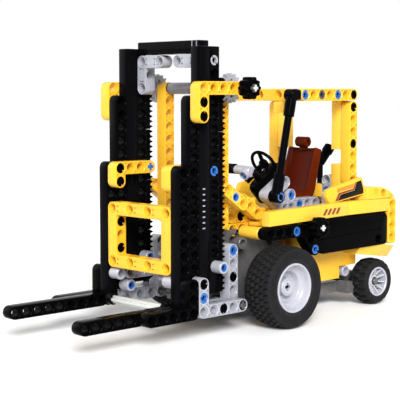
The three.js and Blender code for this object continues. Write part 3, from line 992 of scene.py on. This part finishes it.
def tyre(radius, inner, width, crown, tread_steps, depth_of, turns, shoulder):
    """A tyre whose tread is cut by a depth function, with plain side walls."""
    half = width / 2
    section = []
    side_steps = 7
    for i in range(side_steps):
        share = i / (side_steps - 1)
        r = inner + (radius - shoulder - inner) * share
        section.append((r, -half + 0.9 - 0.9 * smooth_step(share, 0, 0.35), 0.0))
    for i in range(1, 5):
        angle = math.pi / 2 * i / 4
        section.append((radius - crown - shoulder + shoulder * math.sin(angle),
                        -half + shoulder * (1 - math.cos(angle)), 0.35 * i / 4))
    flat_half = half - shoulder
    for i in range(1, tread_steps):
        across = -flat_half + 2 * flat_half * i / tread_steps
        rise = crown * (1 - (across / flat_half) ** 2)
        section.append((radius - crown + rise, across, 1.0))
    mirrored = [(r, -w, share) for r, w, share in reversed(section[:side_steps + 4])]
    section += mirrored
    section.append((inner, half - 0.9, 0.0))
    section.append((inner, -half + 0.9, 0.0))
    points = []
    faces = []
    count = len(section)
    for k in range(turns):
        turn = k / turns
        angle = 2 * math.pi * turn
        for r, w, share in section:
            cut = depth_of(turn, w) * share if share > 0 else 0.0
            reach = mm(r - cut)
            points.append(Vector((reach * math.cos(angle), reach * math.sin(angle), mm(w))))
    for k in range(turns):
        here, there = k * count, ((k + 1) % turns) * count
        for i in range(count - 1):
            faces.append((here + i, there + i, there + i + 1, here + i + 1))
    return points, faces


def wheel_turn(s):
    """The turn of a wheel, whose w points outwards."""
    return facing((s, 0, 0))


FRONT_RIM = [
    (2.75, -8.6), (4.4, -8.6), (4.4, -2.0), (12.0, -2.0), (13.2, -4.0), (13.6, -9.2),
    (14.9, -9.6), (15.1, -9.2), (15.1, 9.1), (14.9, 9.6), (14.1, 9.7), (13.7, 9.2),
    (13.2, 7.4), (12.4, 5.6), (11.2, 4.4), (10.4, 4.2), (10.0, 3.9), (9.7, 3.2), (9.2, 0.4),
    (8.8, 0.0), (6.1, 0.0), (5.7, 0.4), (5.5, 3.6), (5.2, 3.9), (4.7, 3.9), (4.5, 3.5),
    (4.1, 3.5), (3.9, 3.9), (2.75, 3.9), (2.75, -8.6),
]
REAR_RIM = [
    (2.9, -6.2), (8.6, -6.2), (9.5, -6.6), (9.9, -6.2), (9.9, 6.0), (9.6, 6.5), (9.0, 6.5),
    (8.6, 6.0), (8.4, -4.4), (3.9, -4.6), (3.9, 2.8), (3.6, 3.1), (2.9, 3.1), (2.9, -6.2),
]


def scaled(profile):
    return [(mm(r), mm(w)) for r, w in profile]


def wheels():
    for side, s in SIDES:
        front_wheel(side, s)
        rear_wheel(side, s)
    # The front axle is painted black rather than dark grey: painted shade for its ends deep in the
    # hubs.
    axle = cross_rod(6.15)
    stands_for("front_axle", axle, "front_wheels", "black", grid_of("front_axle"))


def front_wheel(side, s):
    low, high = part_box(f"front_tyre_{side}")
    at = grid_of(f"front_tyre_{side}")
    turn = wheel_turn(s)
    radius = (high.z - low.z) / 2 * 1000
    rubber = tyre(radius, 15.1, 20, 0.9, 34, road_tread, 38 * 10, 1.6)
    piece = Piece().add(rubber, at, turn)
    piece.stand_in(f"front_tyre_{side}", "front_wheels", "rubber", angle=28)
    rim = Piece().add(lathe(scaled(FRONT_RIM), 64), at, turn)
    plug = slab([outer_loop(circle(flat(0, 0), mm(3.1), 24), mm(6.2), mm(0.1)),
                 cross_loop(flat(0, 0), mm(6.2))])
    rim.add(plug, at + turn @ Vector((0, 0, mm(-2.4))), turn)
    rim.stand_in(f"front_rim_{side}", "front_wheels", "rim")


def rear_wheel(side, s):
    low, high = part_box(f"rear_tyre_{side}")
    at = grid_of(f"rear_tyre_{side}")
    turn = wheel_turn(s)
    body = f"rear_wheel_{side}"
    radius = (high.z - low.z) / 2 * 1000
    rubber = tyre(radius, 9.9, 14, 0.7, 22, block_tread, 18 * 14, 2.2)
    piece = Piece().add(rubber, at, turn)
    piece.stand_in(f"rear_tyre_{side}", body, "rubber", angle=28)
    rim = Piece().add(lathe(scaled(REAR_RIM), 48), at, turn)
    corners = ((3.6, -4.5), (8.5, -4.5), (8.5, 5.6), (7.9, 5.6), (3.6, 2.4))
    fin = slab([outer_loop([flat(mm(r), mm(w)) for r, w in corners], mm(0.42), mm(0.12))])
    for k in range(10):
        spin = Matrix.Rotation(math.pi * (k + 0.25) / 5, 3, "Z")
        rim.add(fin, at, turn @ spin @ ALONG_Y)
    rim.stand_in(f"rear_rim_{side}", body, "rim")


# ------------------------------------------------------------------------------------ chassis


def chassis():
    """The dark grey beams and blocks that carry the front axle and the mast's pivot."""
    piece = Piece()
    wall = [(5.05, -10.75), (5.05, -15.6), (3.6, -15.6), (3.6, -16.4), (5.05, -17.0),
            (11.55, -17.0), (11.55, -10.75)]
    outline = [flat(y, z) for y, z in wall]
    loops = [outer_loop(outline)]
    loops += holes(((8, -15), (6, -11.6), (6, -13), (6, -15), (10, -12), (10, -14)))
    for s in (1, -1):
        piece.add(slab(loops), (2 * s, 0, 0))
    lug = slab([outer_loop(beam_outline([(4, -16), (6, -16)])),
                hole_loop(flat(4, -16))])
    for s in (1, -1):
        piece.add(lug, (2 * s, 0, 0))
    for z in (-11.25, -12.25, -13.25, -14.25):
        piece.add(block(3.0, 0.96, 0.96), (0, 5.53, z), ALONG_Y)
    piece.add(block(5.0, 15.2, 0.96), (0, 12.65, -16.6), ALONG_Z)
    piece.add(block(7.3, 1.0, 0.96), (0, 18.9, -16.6), ALONG_Z)
    piece.stand_in("chassis", "body", "dark_grey")
    for s in (1, -1):
        pin("body", Vector((2.48 * s, 6, -15)), (s, 0, 0))
        bush("body", (3.2 * s, 6, -11.75), length=0.7, pinned=False, colour="dark_grey")
        bush("body", (3.1 * s, 18.43, -15.18), length=0.8, pinned=False)


def cab_floor():
    outline = rectangle(-4.48, 12.35, 4.48, 21.38, mm(0.6))
    stands_for("cab_floor", slab([outer_loop(outline, 0.3)]), "body", "light_grey",
               (0, 0, -10.2), ALONG_Z)


def lower_body():
    """Stepped panels on both sides with beams between them."""
    piece = Piece()
    panel = [(11.95, -10.65), (21.25, -10.65), (21.25, -13.12), (19.7, -13.12), (19.7, -14.7),
             (17.55, -14.7), (17.55, -15.7), (15.3, -15.7), (11.95, -14.4)]
    outline = [flat(y, z) for y, z in panel[::-1]]
    for s in (1, -1):
        piece.add(slab([outer_loop(outline, mm(1.6))]), (s * (3.5 - mm(1.6)), 0, 0))
    for y, z in ((12.6, -13.5), (14.6, -13.5), (16.6, -14.0), (18.9, -13.9), (20.6, -12.4)):
        piece.add(block(6.2, 0.95, 0.95), (0, y, z), ALONG_Y)
    piece.stand_in("lower_body", "body", "yellow")


def fender_beams():
    run = [(7, -11), (11, -11), (12.2, -12.6)]
    for side, s in SIDES:
        stands_for(f"fender_beam_{side}", beam(run), "body", "black", (5 * s, 0, 0))
        single(rod(mm(3.9), 0.99, mm(0.3)), f"fender_tube_{side}", "body", "yellow",
               (3.5 * s, 7, -11))
    side_pin("body", 5, 10, -11)
    side_pin("body", 5, 12.2, -12.6)


def front_deck():
    """Yellow beams and a plate in front of the cab, over the front axle."""
    for side, s in SIDES:
        single(beam([(5.95, -10.8), (11.95, -10.8)]), f"front_beam_{side}", "body", "yellow",
               (2 * s, 0, 0))
        single(beam([(5.85, -9.8), (9.85, -9.8)]), f"front_upper_beam_{side}", "body", "yellow",
               (2 * s, 0, 0))
        pin("body", Vector((2.46 * s, 6.85, -9.8)), (s, 0, 0), "black")
        plate = rectangle(2.52, 7.6, 4.48, 12.3, 0.1)
        if s < 0:
            plate = rectangle(-4.48, 7.6, -2.52, 12.3, 0.1)
        single(slab([outer_loop(plate, 0.16)]), f"front_plate_{side}", "body", "yellow",
               (0, 0, -10.42), ALONG_Z)


# --------------------------------------------------------------------------------- side panels


def side_panels():
    for side, s in SIDES:
        side_panel(side, s)
        side_rail(side, s)
        rail_print(side, s)


def side_panel(side, s):
    """A black fairing with a long groove and a pin hole at the rear."""
    outline = [
        flat(13.3, -13.08), *arc(flat(21.1, -12.6), 0.4, -math.pi / 2, 0, 4),
        *arc(flat(21.05, -10.75), 0.45, 0, math.pi / 2, 5), flat(16.4, -10.32), flat(11.55, -10.4),
        flat(11.55, -11.2),
    ]
    half = 0.42
    crease = [flat(12.6, -11.93), flat(20.5, -11.63), flat(20.5, -11.55), flat(12.6, -11.84)]
    loops = [outer_loop(outline, half, mm(0.8)), hole_loop(flat(20.25, -12.45), half)]
    loops += pocket_loops(crease, half, mm(0.6))
    stands_for(f"side_panel_{side}", slab(loops), "body", "black", (5.0 * s, 0, 0))


def side_rail(side, s):
    """Two yellow rail covers end to end above the panel."""
    half = 0.44
    front = [flat(6.9, -10.4), flat(16.27, -10.18), flat(16.27, -9.1), flat(6.9, -9.28)]
    rear = [flat(16.33, -10.18), flat(21.5, -10.18), flat(21.5, -9.14), flat(16.33, -9.1)]
    piece = Piece()
    piece.add(slab([outer_loop(front, half)]), (5.02 * s, 0, 0))
    piece.add(slab([outer_loop(rear, half)]), (5.02 * s, 0, 0))
    piece.stand_in(f"side_rail_{side}", "body", "yellow")


def rail_print(side, s):
    """Four plain slanted stripes on the rail."""
    piece = Piece()
    face = 5.02 + 0.44 + mm(0.02)
    for i in range(4):
        y = 13.05 + 0.52 * i
        z = -10.0 + 0.01 * i
        stripe = [flat(y, z), flat(y + 0.3, z), flat(y + 0.66, z + 0.49), flat(y + 0.36, z + 0.49)]
        piece.add(slab([outer_loop(stripe, mm(0.03), mm(0.01))]), (face * s, 0, 0))
    piece.done(f"rail_stripes_{side}", "body", "red_print")


# -------------------------------------------------------------------------------------- tail


def tail():
    """Upright beams at the rear corners, cross beams between them and a tapered block below."""
    piece = Piece()
    for s in (1, -1):
        outline = rectangle(21.54, -13.0, 22.55, -9.14, 0.3, 5)
        loops = [outer_loop(outline)]
        for k, z in enumerate((-9.7, -10.62, -11.54, -12.46)):
            loops.append(hole_loop(flat(22.05, z)))
            if k < 3:
                mark = slot_mark(22.05, z - 0.46, False, 0.22, 0.035)
                loops += pocket_loops(mark, HALF_BEAM, mm(0.6))
        piece.add(slab(loops), (5 * s, 0, 0))
    for z in (-9.65, -10.65, -11.65, -12.5):
        loops = [outer_loop(rectangle(-4.48, z - HALF_BEAM, 4.48, z + HALF_BEAM))]
        loops += holes((x, z) for x in range(-4, 5))
        piece.add(slab(loops), (0, 22, 0), ALONG_Y)
    piece.stand_in("rear_frame", "body", "yellow")
    trough = [flat(-4.75, -0.62), flat(4.75, -0.62), flat(5.35, 0.4), flat(-5.35, 0.4)]
    lean = Matrix.Rotation(math.radians(-8), 3, "X")
    under = Piece().add(slab([outer_loop(trough, 2.15)]), (0, 20.35, -13.3), lean @ ALONG_Y)
    under.done("tail_underside", "body", "yellow")


def engine_cover():
    """The hood behind the cab, rounded at the rear, with a slanted cowl along each side."""
    half = 5.46
    hood = [
        flat(18.6, -9.1), flat(22.45, -9.1), flat(22.1, -8.77),
        flat(21.76, -8.57), flat(21.35, -8.37), flat(20.96, -8.23), flat(20.3, -8.12),
        flat(19.7, -8.1), flat(18.6, -8.14),
    ]
    loops = [outer_loop(hood, half, mm(0.6))]
    loops += pocket_loops(circle(flat(20.8, -8.62), BORE_R), half, mm(4.0))
    for y in (19.78, 19.98):
        loops += pocket_loops(rectangle(y - 0.04, -8.66, y + 0.04, -8.3), half, mm(1.2))
    loops += pocket_loops(rectangle(21.75, -8.98, 21.95, -8.88), half, mm(1.2))
    piece = Piece().add(slab(loops))
    cowl = [
        flat(14.45, -9.2), flat(18.78, -8.66), flat(18.86, -8.5), flat(18.5, -7.36),
        flat(18.4, -7.25), flat(18.22, -7.22), flat(14.3, -8.0), flat(14.1, -8.1),
        flat(13.97, -8.5), flat(14.05, -8.75),
    ]
    for s in (1, -1):
        piece.add(slab([outer_loop(cowl, 0.24, mm(0.5))]), (4.85 * s, 0, 0))
    piece.stand_in("engine_cover", "body", "yellow")
    for side, s in SIDES:
        cowl_label(side, s)


def cowl_label(side, s):
    """A plain printed plate: a black field edged with a red and an orange band."""
    face = 4.85 + 0.24 + mm(0.02)
    bands = (
        ("black_print", [(15.29, -9.0), (18.76, -8.56), (18.28, -7.47), (17.72, -7.58),
                         (17.44, -8.27), (15.74, -8.5)]),
        ("red_print", [(14.98, -9.0), (15.26, -9.0), (15.7, -8.48), (17.41, -8.25),
                       (17.69, -7.59), (17.53, -7.62), (17.26, -8.12), (15.43, -8.37)]),
        ("orange_print", [(15.2, -8.32), (17.23, -8.06), (17.44, -7.68), (15.25, -8.02)]),
    )
    piece = Piece()
    for paint, (_, corners) in enumerate(bands):
        points = [flat(*corner) for corner in corners]
        piece.add(slab([outer_loop(points, mm(0.03), mm(0.01))]), (face * s, 0, 0), paint=paint)
    piece.done(f"cowl_label_{side}", "body", *(name for name, _ in bands))


# --------------------------------------------------------------------------------------- cab

ROOF_Z = -0.5


def cab_frames():
    for side, s in SIDES:
        piece = Piece().add(beam([(12, ROOF_Z), (18, ROOF_Z)]), (4 * s, 0, 0))
        piece.add(beam([(18, ROOF_Z - 1), (18, -7.5)]), (4 * s, 0, 0))
        piece.stand_in(f"cab_frame_{side}", "body", "yellow")
        inner = Piece()
        inner.add(block(1 - mm(0.3), 4.0, 1 - mm(0.3)), (3 * s, 18, -3.0))
        inner.add(block(1 - mm(0.3), 2.5, 1 - mm(0.3)), (3 * s, 18, -7.45))
        inner.done(f"cab_post_liner_{side}", "body", "yellow")
    for y, colour in ((12, "blue"), (14, "dark_grey"), (16, "blue"), (18, "black")):
        side_pin("body", 4, y, ROOF_Z, colour)
    for z in (-1.5, -4.5):
        side_pin("body", 4, 18, z, "black")


def roof():
    outline = rectangle(-3.48, 11.52, 3.48, 18.48, mm(0.8))
    window = rectangle(-2.5, 12.5, 2.5, 17.5, mm(0.6))
    loops = [outer_loop(outline), window_loop(window)]
    loops += holes((x, y) for x in (-3, -1, 1, 3) for y in (12, 18))
    loops += holes((x, y) for y in (14, 16) for x in (-3, 3))
    piece = Piece().add(slab(loops), (0, 0, ROOF_Z), ALONG_Z)
    for x in (-2, 0, 2):
        piece.bore((x, 12, ROOF_Z), ALONG_Y)
        piece.bore((x, 18, ROOF_Z), ALONG_Y)
    piece.stand_in("roof_frame", "body", "yellow")
    hanger = Piece().add(block(1.1, 0.9, 0.9, 0.1), (2.05, 11.97, -1.48), ALONG_Y)
    hanger.done("roof_hanger", "body", "yellow")


def struts():
    """Slanted windscreen struts: a corner connector, a rod and a foot sleeve with a pin."""
    top = Vector((4, 10.9, ROOF_Z))
    foot = Vector((4, 9.2, -8.35))
    way = (foot - top).normalized()
    for side, s in SIDES:
        piece = Piece()
        head = Vector((top.x * s, top.y, top.z))
        base = Vector((foot.x * s, foot.y, foot.z))
        step = Vector((0, way.y, way.z))
        turn = facing(step)
        piece.add(rod(mm(3.7), 0.48, mm(0.4)), head, ALONG_X)
        piece.add(rod(mm(3.5), 0.42, mm(0.3)), head + Vector((0, 0.35, 0)), facing((0, 1, 0)))
        piece.add(pipe(mm(3.5), mm(2.3), 0.75, mm(0.3)), head + step * 0.95, turn)
        rod_middle = (head + base) / 2
        piece.add(rod(mm(2.35), 3.1, mm(0.2)), rod_middle, turn)
        piece.add(pipe(mm(3.5), mm(2.3), 0.85, mm(0.3)), base - step * 0.95, turn)
        piece.add(rod(mm(3.85), 0.48, mm(0.4)), base, ALONG_X)
        piece.stand_in(f"windscreen_strut_{side}", "body", "black")
        pin("body", base + Vector((s * 0.5, 0, 0)), (s, 0, 0))


def seat():
    """A tub seat with raised rims, a raised bow on its back and a round headrest on a neck."""
    piece = Piece()
    piece.add(lofted_seat(), (0, 0, 0), Matrix.Identity(3))
    piece.add(block(0.75, 0.7, 0.3, 0.1), (0, 16.95, -4.8), ALONG_Y)
    piece.add(rod(mm(3.4), 0.42, mm(0.5)), (-0.05, 16.72, -4.42))
    piece.add(pipe(mm(3.4), mm(1.9), 0.2, mm(0.4)), (0.5, 16.72, -4.42))
    lean = Matrix.Rotation(math.radians(-14), 3, "X")
    bow = arc(flat(0, 0), 0.5, math.radians(60), math.radians(120), 8)
    bow += arc(flat(0, 0), 0.44, math.radians(120), math.radians(60), 8)
    piece.add(slab([outer_loop(bow, mm(0.5), mm(0.1))]), (0.05, 16.83, -6.15), lean @ ALONG_Y)
    piece.stand_in("seat", "body", "brown", angle=40)


def lofted_seat():
    """Cross-sections of the tub along its way from the front of the cushion to the top of the
    back: a floor between two raised rims."""
    way = [
        (14.0, -9.1, 0.35), (14.25, -8.98, 0.42), (15.0, -8.95, 0.45), (15.7, -8.88, 0.5),
        (16.15, -8.55, 0.55), (16.38, -7.9, 0.5), (16.6, -6.9, 0.45), (16.85, -5.9, 0.42),
        (17.05, -5.05, 0.35), (17.08, -4.95, 0.25),
    ]
    points = []
    faces = []
    for i, (y, z, rim) in enumerate(way):
        before = Vector((0, way[max(i - 1, 0)][0], way[max(i - 1, 0)][1]))
        after_index = min(i + 1, len(way) - 1)
        after = Vector((0, way[after_index][0], way[after_index][1]))
        ahead = (after - before).normalized()
        up = Vector((0, -ahead.z, ahead.y))
        wide = 1.55
        if i == 0 or i == len(way) - 1:
            wide = 1.5
        section = [
            (-wide, -0.38), (-wide, rim - 0.08), (-wide + 0.06, rim), (-wide + 0.2, rim),
            (-wide + 0.28, rim - 0.1), (-wide + 0.36, 0.12), (-wide + 0.55, 0.03),
            (0, -0.03), (wide - 0.55, 0.03), (wide - 0.36, 0.12), (wide - 0.28, rim - 0.1),
            (wide - 0.2, rim), (wide - 0.06, rim), (wide, rim - 0.08), (wide, -0.38),
        ]
        section_count = len(section)
        origin = Vector((0, y, z))
        for x, height in section:
            points.append(origin + Vector((x, 0, 0)) + up * height)
    for i in range(len(way) - 1):
        for k in range(section_count):
            j = (k + 1) % section_count
            a, b = i * section_count, (i + 1) * section_count
            faces.append((a + k, a + j, b + j, b + k))
    faces.append(tuple(range(section_count))[::-1])
    last = (len(way) - 1) * section_count
    faces.append(tuple(last + k for k in range(section_count)))
    return points, faces


WHEEL_TILT = 57  # degrees from level


def steering_wheel():
    """A round rim with three spokes, a hub and a cross column."""
    centre = Vector((0, 12.05, -6.1))
    turn = Matrix.Rotation(math.radians(-WHEEL_TILT), 3, "X")
    rim_r, thick = mm(9.3), mm(1.1)
    ring = [(rim_r + thick * math.cos(a), thick * math.sin(a))
            for a in (2 * math.pi * k / 12 for k in range(12))]
    ring.append(ring[0])
    piece = Piece().add(lathe(ring, 44), centre, turn)
    for k in range(3):
        spin = Matrix.Rotation(2 * math.pi * k / 3 - math.pi / 2, 3, "Z")
        corners = [flat(mm(2.0), -mm(1.5)), flat(mm(8.8), -mm(0.9)), flat(mm(8.8), mm(0.9)),
                   flat(mm(2.0), mm(1.5))]
        piece.add(slab([outer_loop(corners, mm(0.8), mm(0.2))]), centre, turn @ spin)
    piece.add(pipe(mm(3.4), mm(1.4), mm(1.4), mm(0.3)), centre, turn)
    column = cross_rod(1.2, 2.0, 0.8)
    piece.add(column, centre + turn @ Vector((0, 0, -1.15)), turn)
    piece.stand_in("steering_wheel", "steering_wheel", "black")


def dash():
    """The parts around the steering column and the driver's feet."""
    tube = Piece()
    tube.add(pipe(mm(2.9), mm(1.9), 0.5, mm(0.3)), (0.05, 9.3, -6.45))
    tube.add(rod(mm(3.5), 0.42, mm(0.5)), (0.85, 9.3, -6.56))
    down = Vector((0, -0.87, -0.5))
    elbow = Vector((0.85, 9.3, -6.56))
    tube.add(pipe(mm(3.5), mm(2.5), 0.32, mm(0.3)), elbow + down * 0.3, facing(down))
    tube.done("dash_tube", "body", "light_grey")
    pin("body", elbow + down * 0.6, down)
    link_from = Vector((1.1, 9.45, -6.6))
    link_to = Vector((1.1, 10.9, -7.35))
    link_way = link_to - link_from
    link = rod(mm(2.6), link_way.length / 2, mm(0.3))
    single(link, "dash_link", "body", "black", (link_from + link_to) / 2, facing(link_way))
    single(pipe(mm(3.3), mm(2.4), 0.6, mm(0.3)), "dash_sleeve", "body", "black", (-1.1, 9.3, -6.4))
    bar = beam_outline([(12.3, -6.45), (10.3, -7.85), (11.2, -8.75)])
    single(slab([outer_loop(bar)]), "dash_bar", "body", "black", (1, 0, 0))
    corners = [(10.9, -7.35), (9.25, -8.3), (10.9, -9.45)]
    loops = [outer_loop(beam_outline(corners))]
    loops += holes(corners)
    single(slab(loops), "dash_cheek", "body", "light_grey", (3, 0, 0))
    single(beam([(11.57, -8.39), (11.57, -9.39)]), "foot_block", "body", "light_grey", (3, 0, 0))
    pin("body", Vector((3.46, 11.57, -8.39)))
    single(beam([(12.69, -9.33), (15.69, -9.33)]), "seat_side_beam", "body", "light_grey", (2, 0, 0))
    pin("body", Vector((2.46, 13.69, -9.33)))
    single(beam([(2.0, -9.44), (2.0, -7.6)]), "seat_stand", "body", "light_grey", (0, 18, 0), ALONG_Y)
    pin("body", Vector((2.0, 17.54, -8.5)), (0, -1, 0))
    single(block(1.1, 1.05, 0.9), "seat_back_block", "body", "yellow", (0.95, 17.95, -8.5), ALONG_Y)


def braces():
    """Yellow slanted braces that end short of the mast, and the beam behind the dash."""
    for side, s in SIDES:
        brace = beam([(6.1, -8.46), (7.74, -9.6)])
        single(brace, f"tilt_brace_{side}", "body", "yellow", (3 * s, 0, 0))
    dash_beam = Piece()
    loops = [outer_loop(rectangle(-2.48, -9.4, 2.48, -8.44))]
    loops += holes((x, -8.92) for x in (-2, -1, 0, 1, 2))
    dash_beam.add(slab(loops), (0, 8.0, 0), ALONG_Y)
    dash_beam.done("dash_beam", "body", "yellow")


def exhaust():
    """A black angled pipe behind the seat, with an open slanted mouth."""
    piece = Piece()
    piece.add(rod(mm(2.0), 1.35, mm(0.3)), (0, 19.1, -7.55), ALONG_Z)
    elbow = Vector((0, 19.05, -6.3))
    mouth = Vector((0, 20.15, -5.2))
    way = mouth - elbow
    piece.add(rod(mm(3.3), way.length / 2, mm(0.8)), (elbow + mouth) / 2, facing(way))
    piece.add(pipe(mm(3.8), mm(2.7), 0.32, mm(0.4)), mouth, facing(way))
    piece.done("exhaust_pipe", "body", "black")


def rear_axle():
    at = grid_of("rear_axle")
    piece = Piece()
    piece.add(rod(mm(3.75), 3.05, mm(0.3)), at)
    piece.add(rod(mm(2.3), 4.7, mm(0.3)), at)
    for s in (1, -1):
        piece.add(block(1.3, 1.4, 0.8, 0.3), (2.1 * s, at.y - 0.35, at.z))
    piece.stand_in("rear_axle", "body", "dark_grey")


# --------------------------------------------------------------------------------- the studio

CAMERA_AZIMUTH = math.radians(46.08)
CAMERA_ELEVATION = math.radians(5.23)
CAMERA_DISTANCE = 86.74 * SPACING
CAMERA_AIM = to_frame((2.963, 1.992, -8.216))
CAMERA_LENS = 105.8


def camera():
    made = bpy.data.objects.new("camera", bpy.data.cameras.new("camera"))
    bpy.context.scene.collection.objects.link(made)
    back = Vector((
        math.sin(CAMERA_AZIMUTH) * math.cos(CAMERA_ELEVATION),
        -math.cos(CAMERA_AZIMUTH) * math.cos(CAMERA_ELEVATION),
        math.sin(CAMERA_ELEVATION),
    ))
    made.location = CAMERA_AIM + back * CAMERA_DISTANCE
    made.rotation_euler = back.to_track_quat("Z", "Y").to_euler()
    made.data.lens = CAMERA_LENS
    made.data.sensor_width = 36
    made.data.clip_start = 0.01
    bpy.context.scene.camera = made


def studio():
    """A pale floor under a bright sky, with a broad soft key and a low fill."""
    reach = 6.0
    height = cad_box[0][2]
    around = ((-reach, -reach), (reach, -reach), (reach, reach), (-reach, reach))
    corners = [(x, y, height) for x, y in around]
    floor = bpy.data.objects.new("floor", new_mesh("floor", corners, [(0, 1, 2, 3)]))
    bpy.context.scene.collection.objects.link(floor)
    material = bpy.data.materials.new("floor")
    material.use_nodes = True
    tree = material.node_tree
    shader = tree.nodes["Principled BSDF"]
    place = tree.nodes.new("ShaderNodeTexCoord").outputs["Object"]
    patches = ranged(tree, noise(tree, place, 3.0), 0.0, 1.0)
    paper = mixed(tree, patches, (0.97, 0.97, 0.97), (0.95, 0.95, 0.95))
    tree.links.new(paper, shader.inputs["Base Color"])
    shader.inputs["Roughness"].default_value = 0.8
    shader.inputs["Specular IOR Level"].default_value = 0.1
    floor.data.materials.append(material)
    sky()
    lamp("key", "SUN", (0.67, -0.54, 0.56), 4.8, math.radians(24))
    lamp("fill", "AREA", (-0.9, -0.6, 0.5), 4.0, 0.8)
    bpy.context.scene.view_settings.view_transform = "Standard"


LAMP_AIM = Vector((0, 0, 0.07))


def lamp(name, kind, place, power, size):
    """A lamp aimed at the object. Its size is an angle for a sun and metres for an area."""
    light = bpy.data.lights.new(name, kind)
    light.energy = power
    if kind == "SUN":
        light.angle = size
    else:
        light.size = size
    made = bpy.data.objects.new(name, light)
    bpy.context.scene.collection.objects.link(made)
    made.location = place
    made.rotation_euler = (Vector(place) - LAMP_AIM).to_track_quat("Z", "Y").to_euler()


ROOM_SIDE = (0.72, -0.69, 0.0)  # the side of the dim room
BACKDROP_LIGHT = 1.0
ROOM_LIGHT = 0.06
SOFT_LIGHT = 0.42


def sky():
    """A white backdrop that lights softly. Glossy surfaces see the backdrop behind the object,
    and a dim room in front of it."""
    world = bpy.data.worlds.new("sky")
    bpy.context.scene.world = world
    world.use_nodes = True
    tree = world.node_tree
    background = tree.nodes["Background"]
    background.inputs["Color"].default_value = (1, 1, 1, 1)
    way = tree.nodes.new("ShaderNodeTexCoord").outputs["Generated"]
    front = tree.nodes.new("ShaderNodeVectorMath")
    front.operation = "DOT_PRODUCT"
    front.inputs[1].default_value = ROOM_SIDE
    tree.links.new(way, front.inputs[0])
    room = ranged(tree, front.outputs["Value"], BACKDROP_LIGHT, ROOM_LIGHT, -0.15, 0.25)
    ray = tree.nodes.new("ShaderNodeLightPath")
    seen = ranged(tree, ray.outputs["Is Camera Ray"], SOFT_LIGHT, BACKDROP_LIGHT, 0.0, 1.0)
    level = tree.nodes.new("ShaderNodeMix")
    tree.links.new(ray.outputs["Is Glossy Ray"], level.inputs["Factor"])
    tree.links.new(seen, level.inputs["A"])
    tree.links.new(room, level.inputs["B"])
    tree.links.new(level.outputs[0], background.inputs["Strength"])


# ------------------------------------------------------------------------------------ build

camera()
make_materials()
mast()
carriage()
lift_shaft()
tilt_knob()
wheels()
chassis()
cab_floor()
front_deck()
lower_body()
fender_beams()
side_panels()
tail()
engine_cover()
cab_frames()
roof()
struts()
seat()
steering_wheel()
dash()
braces()
exhaust()
rear_axle()
make_fasteners()
studio()
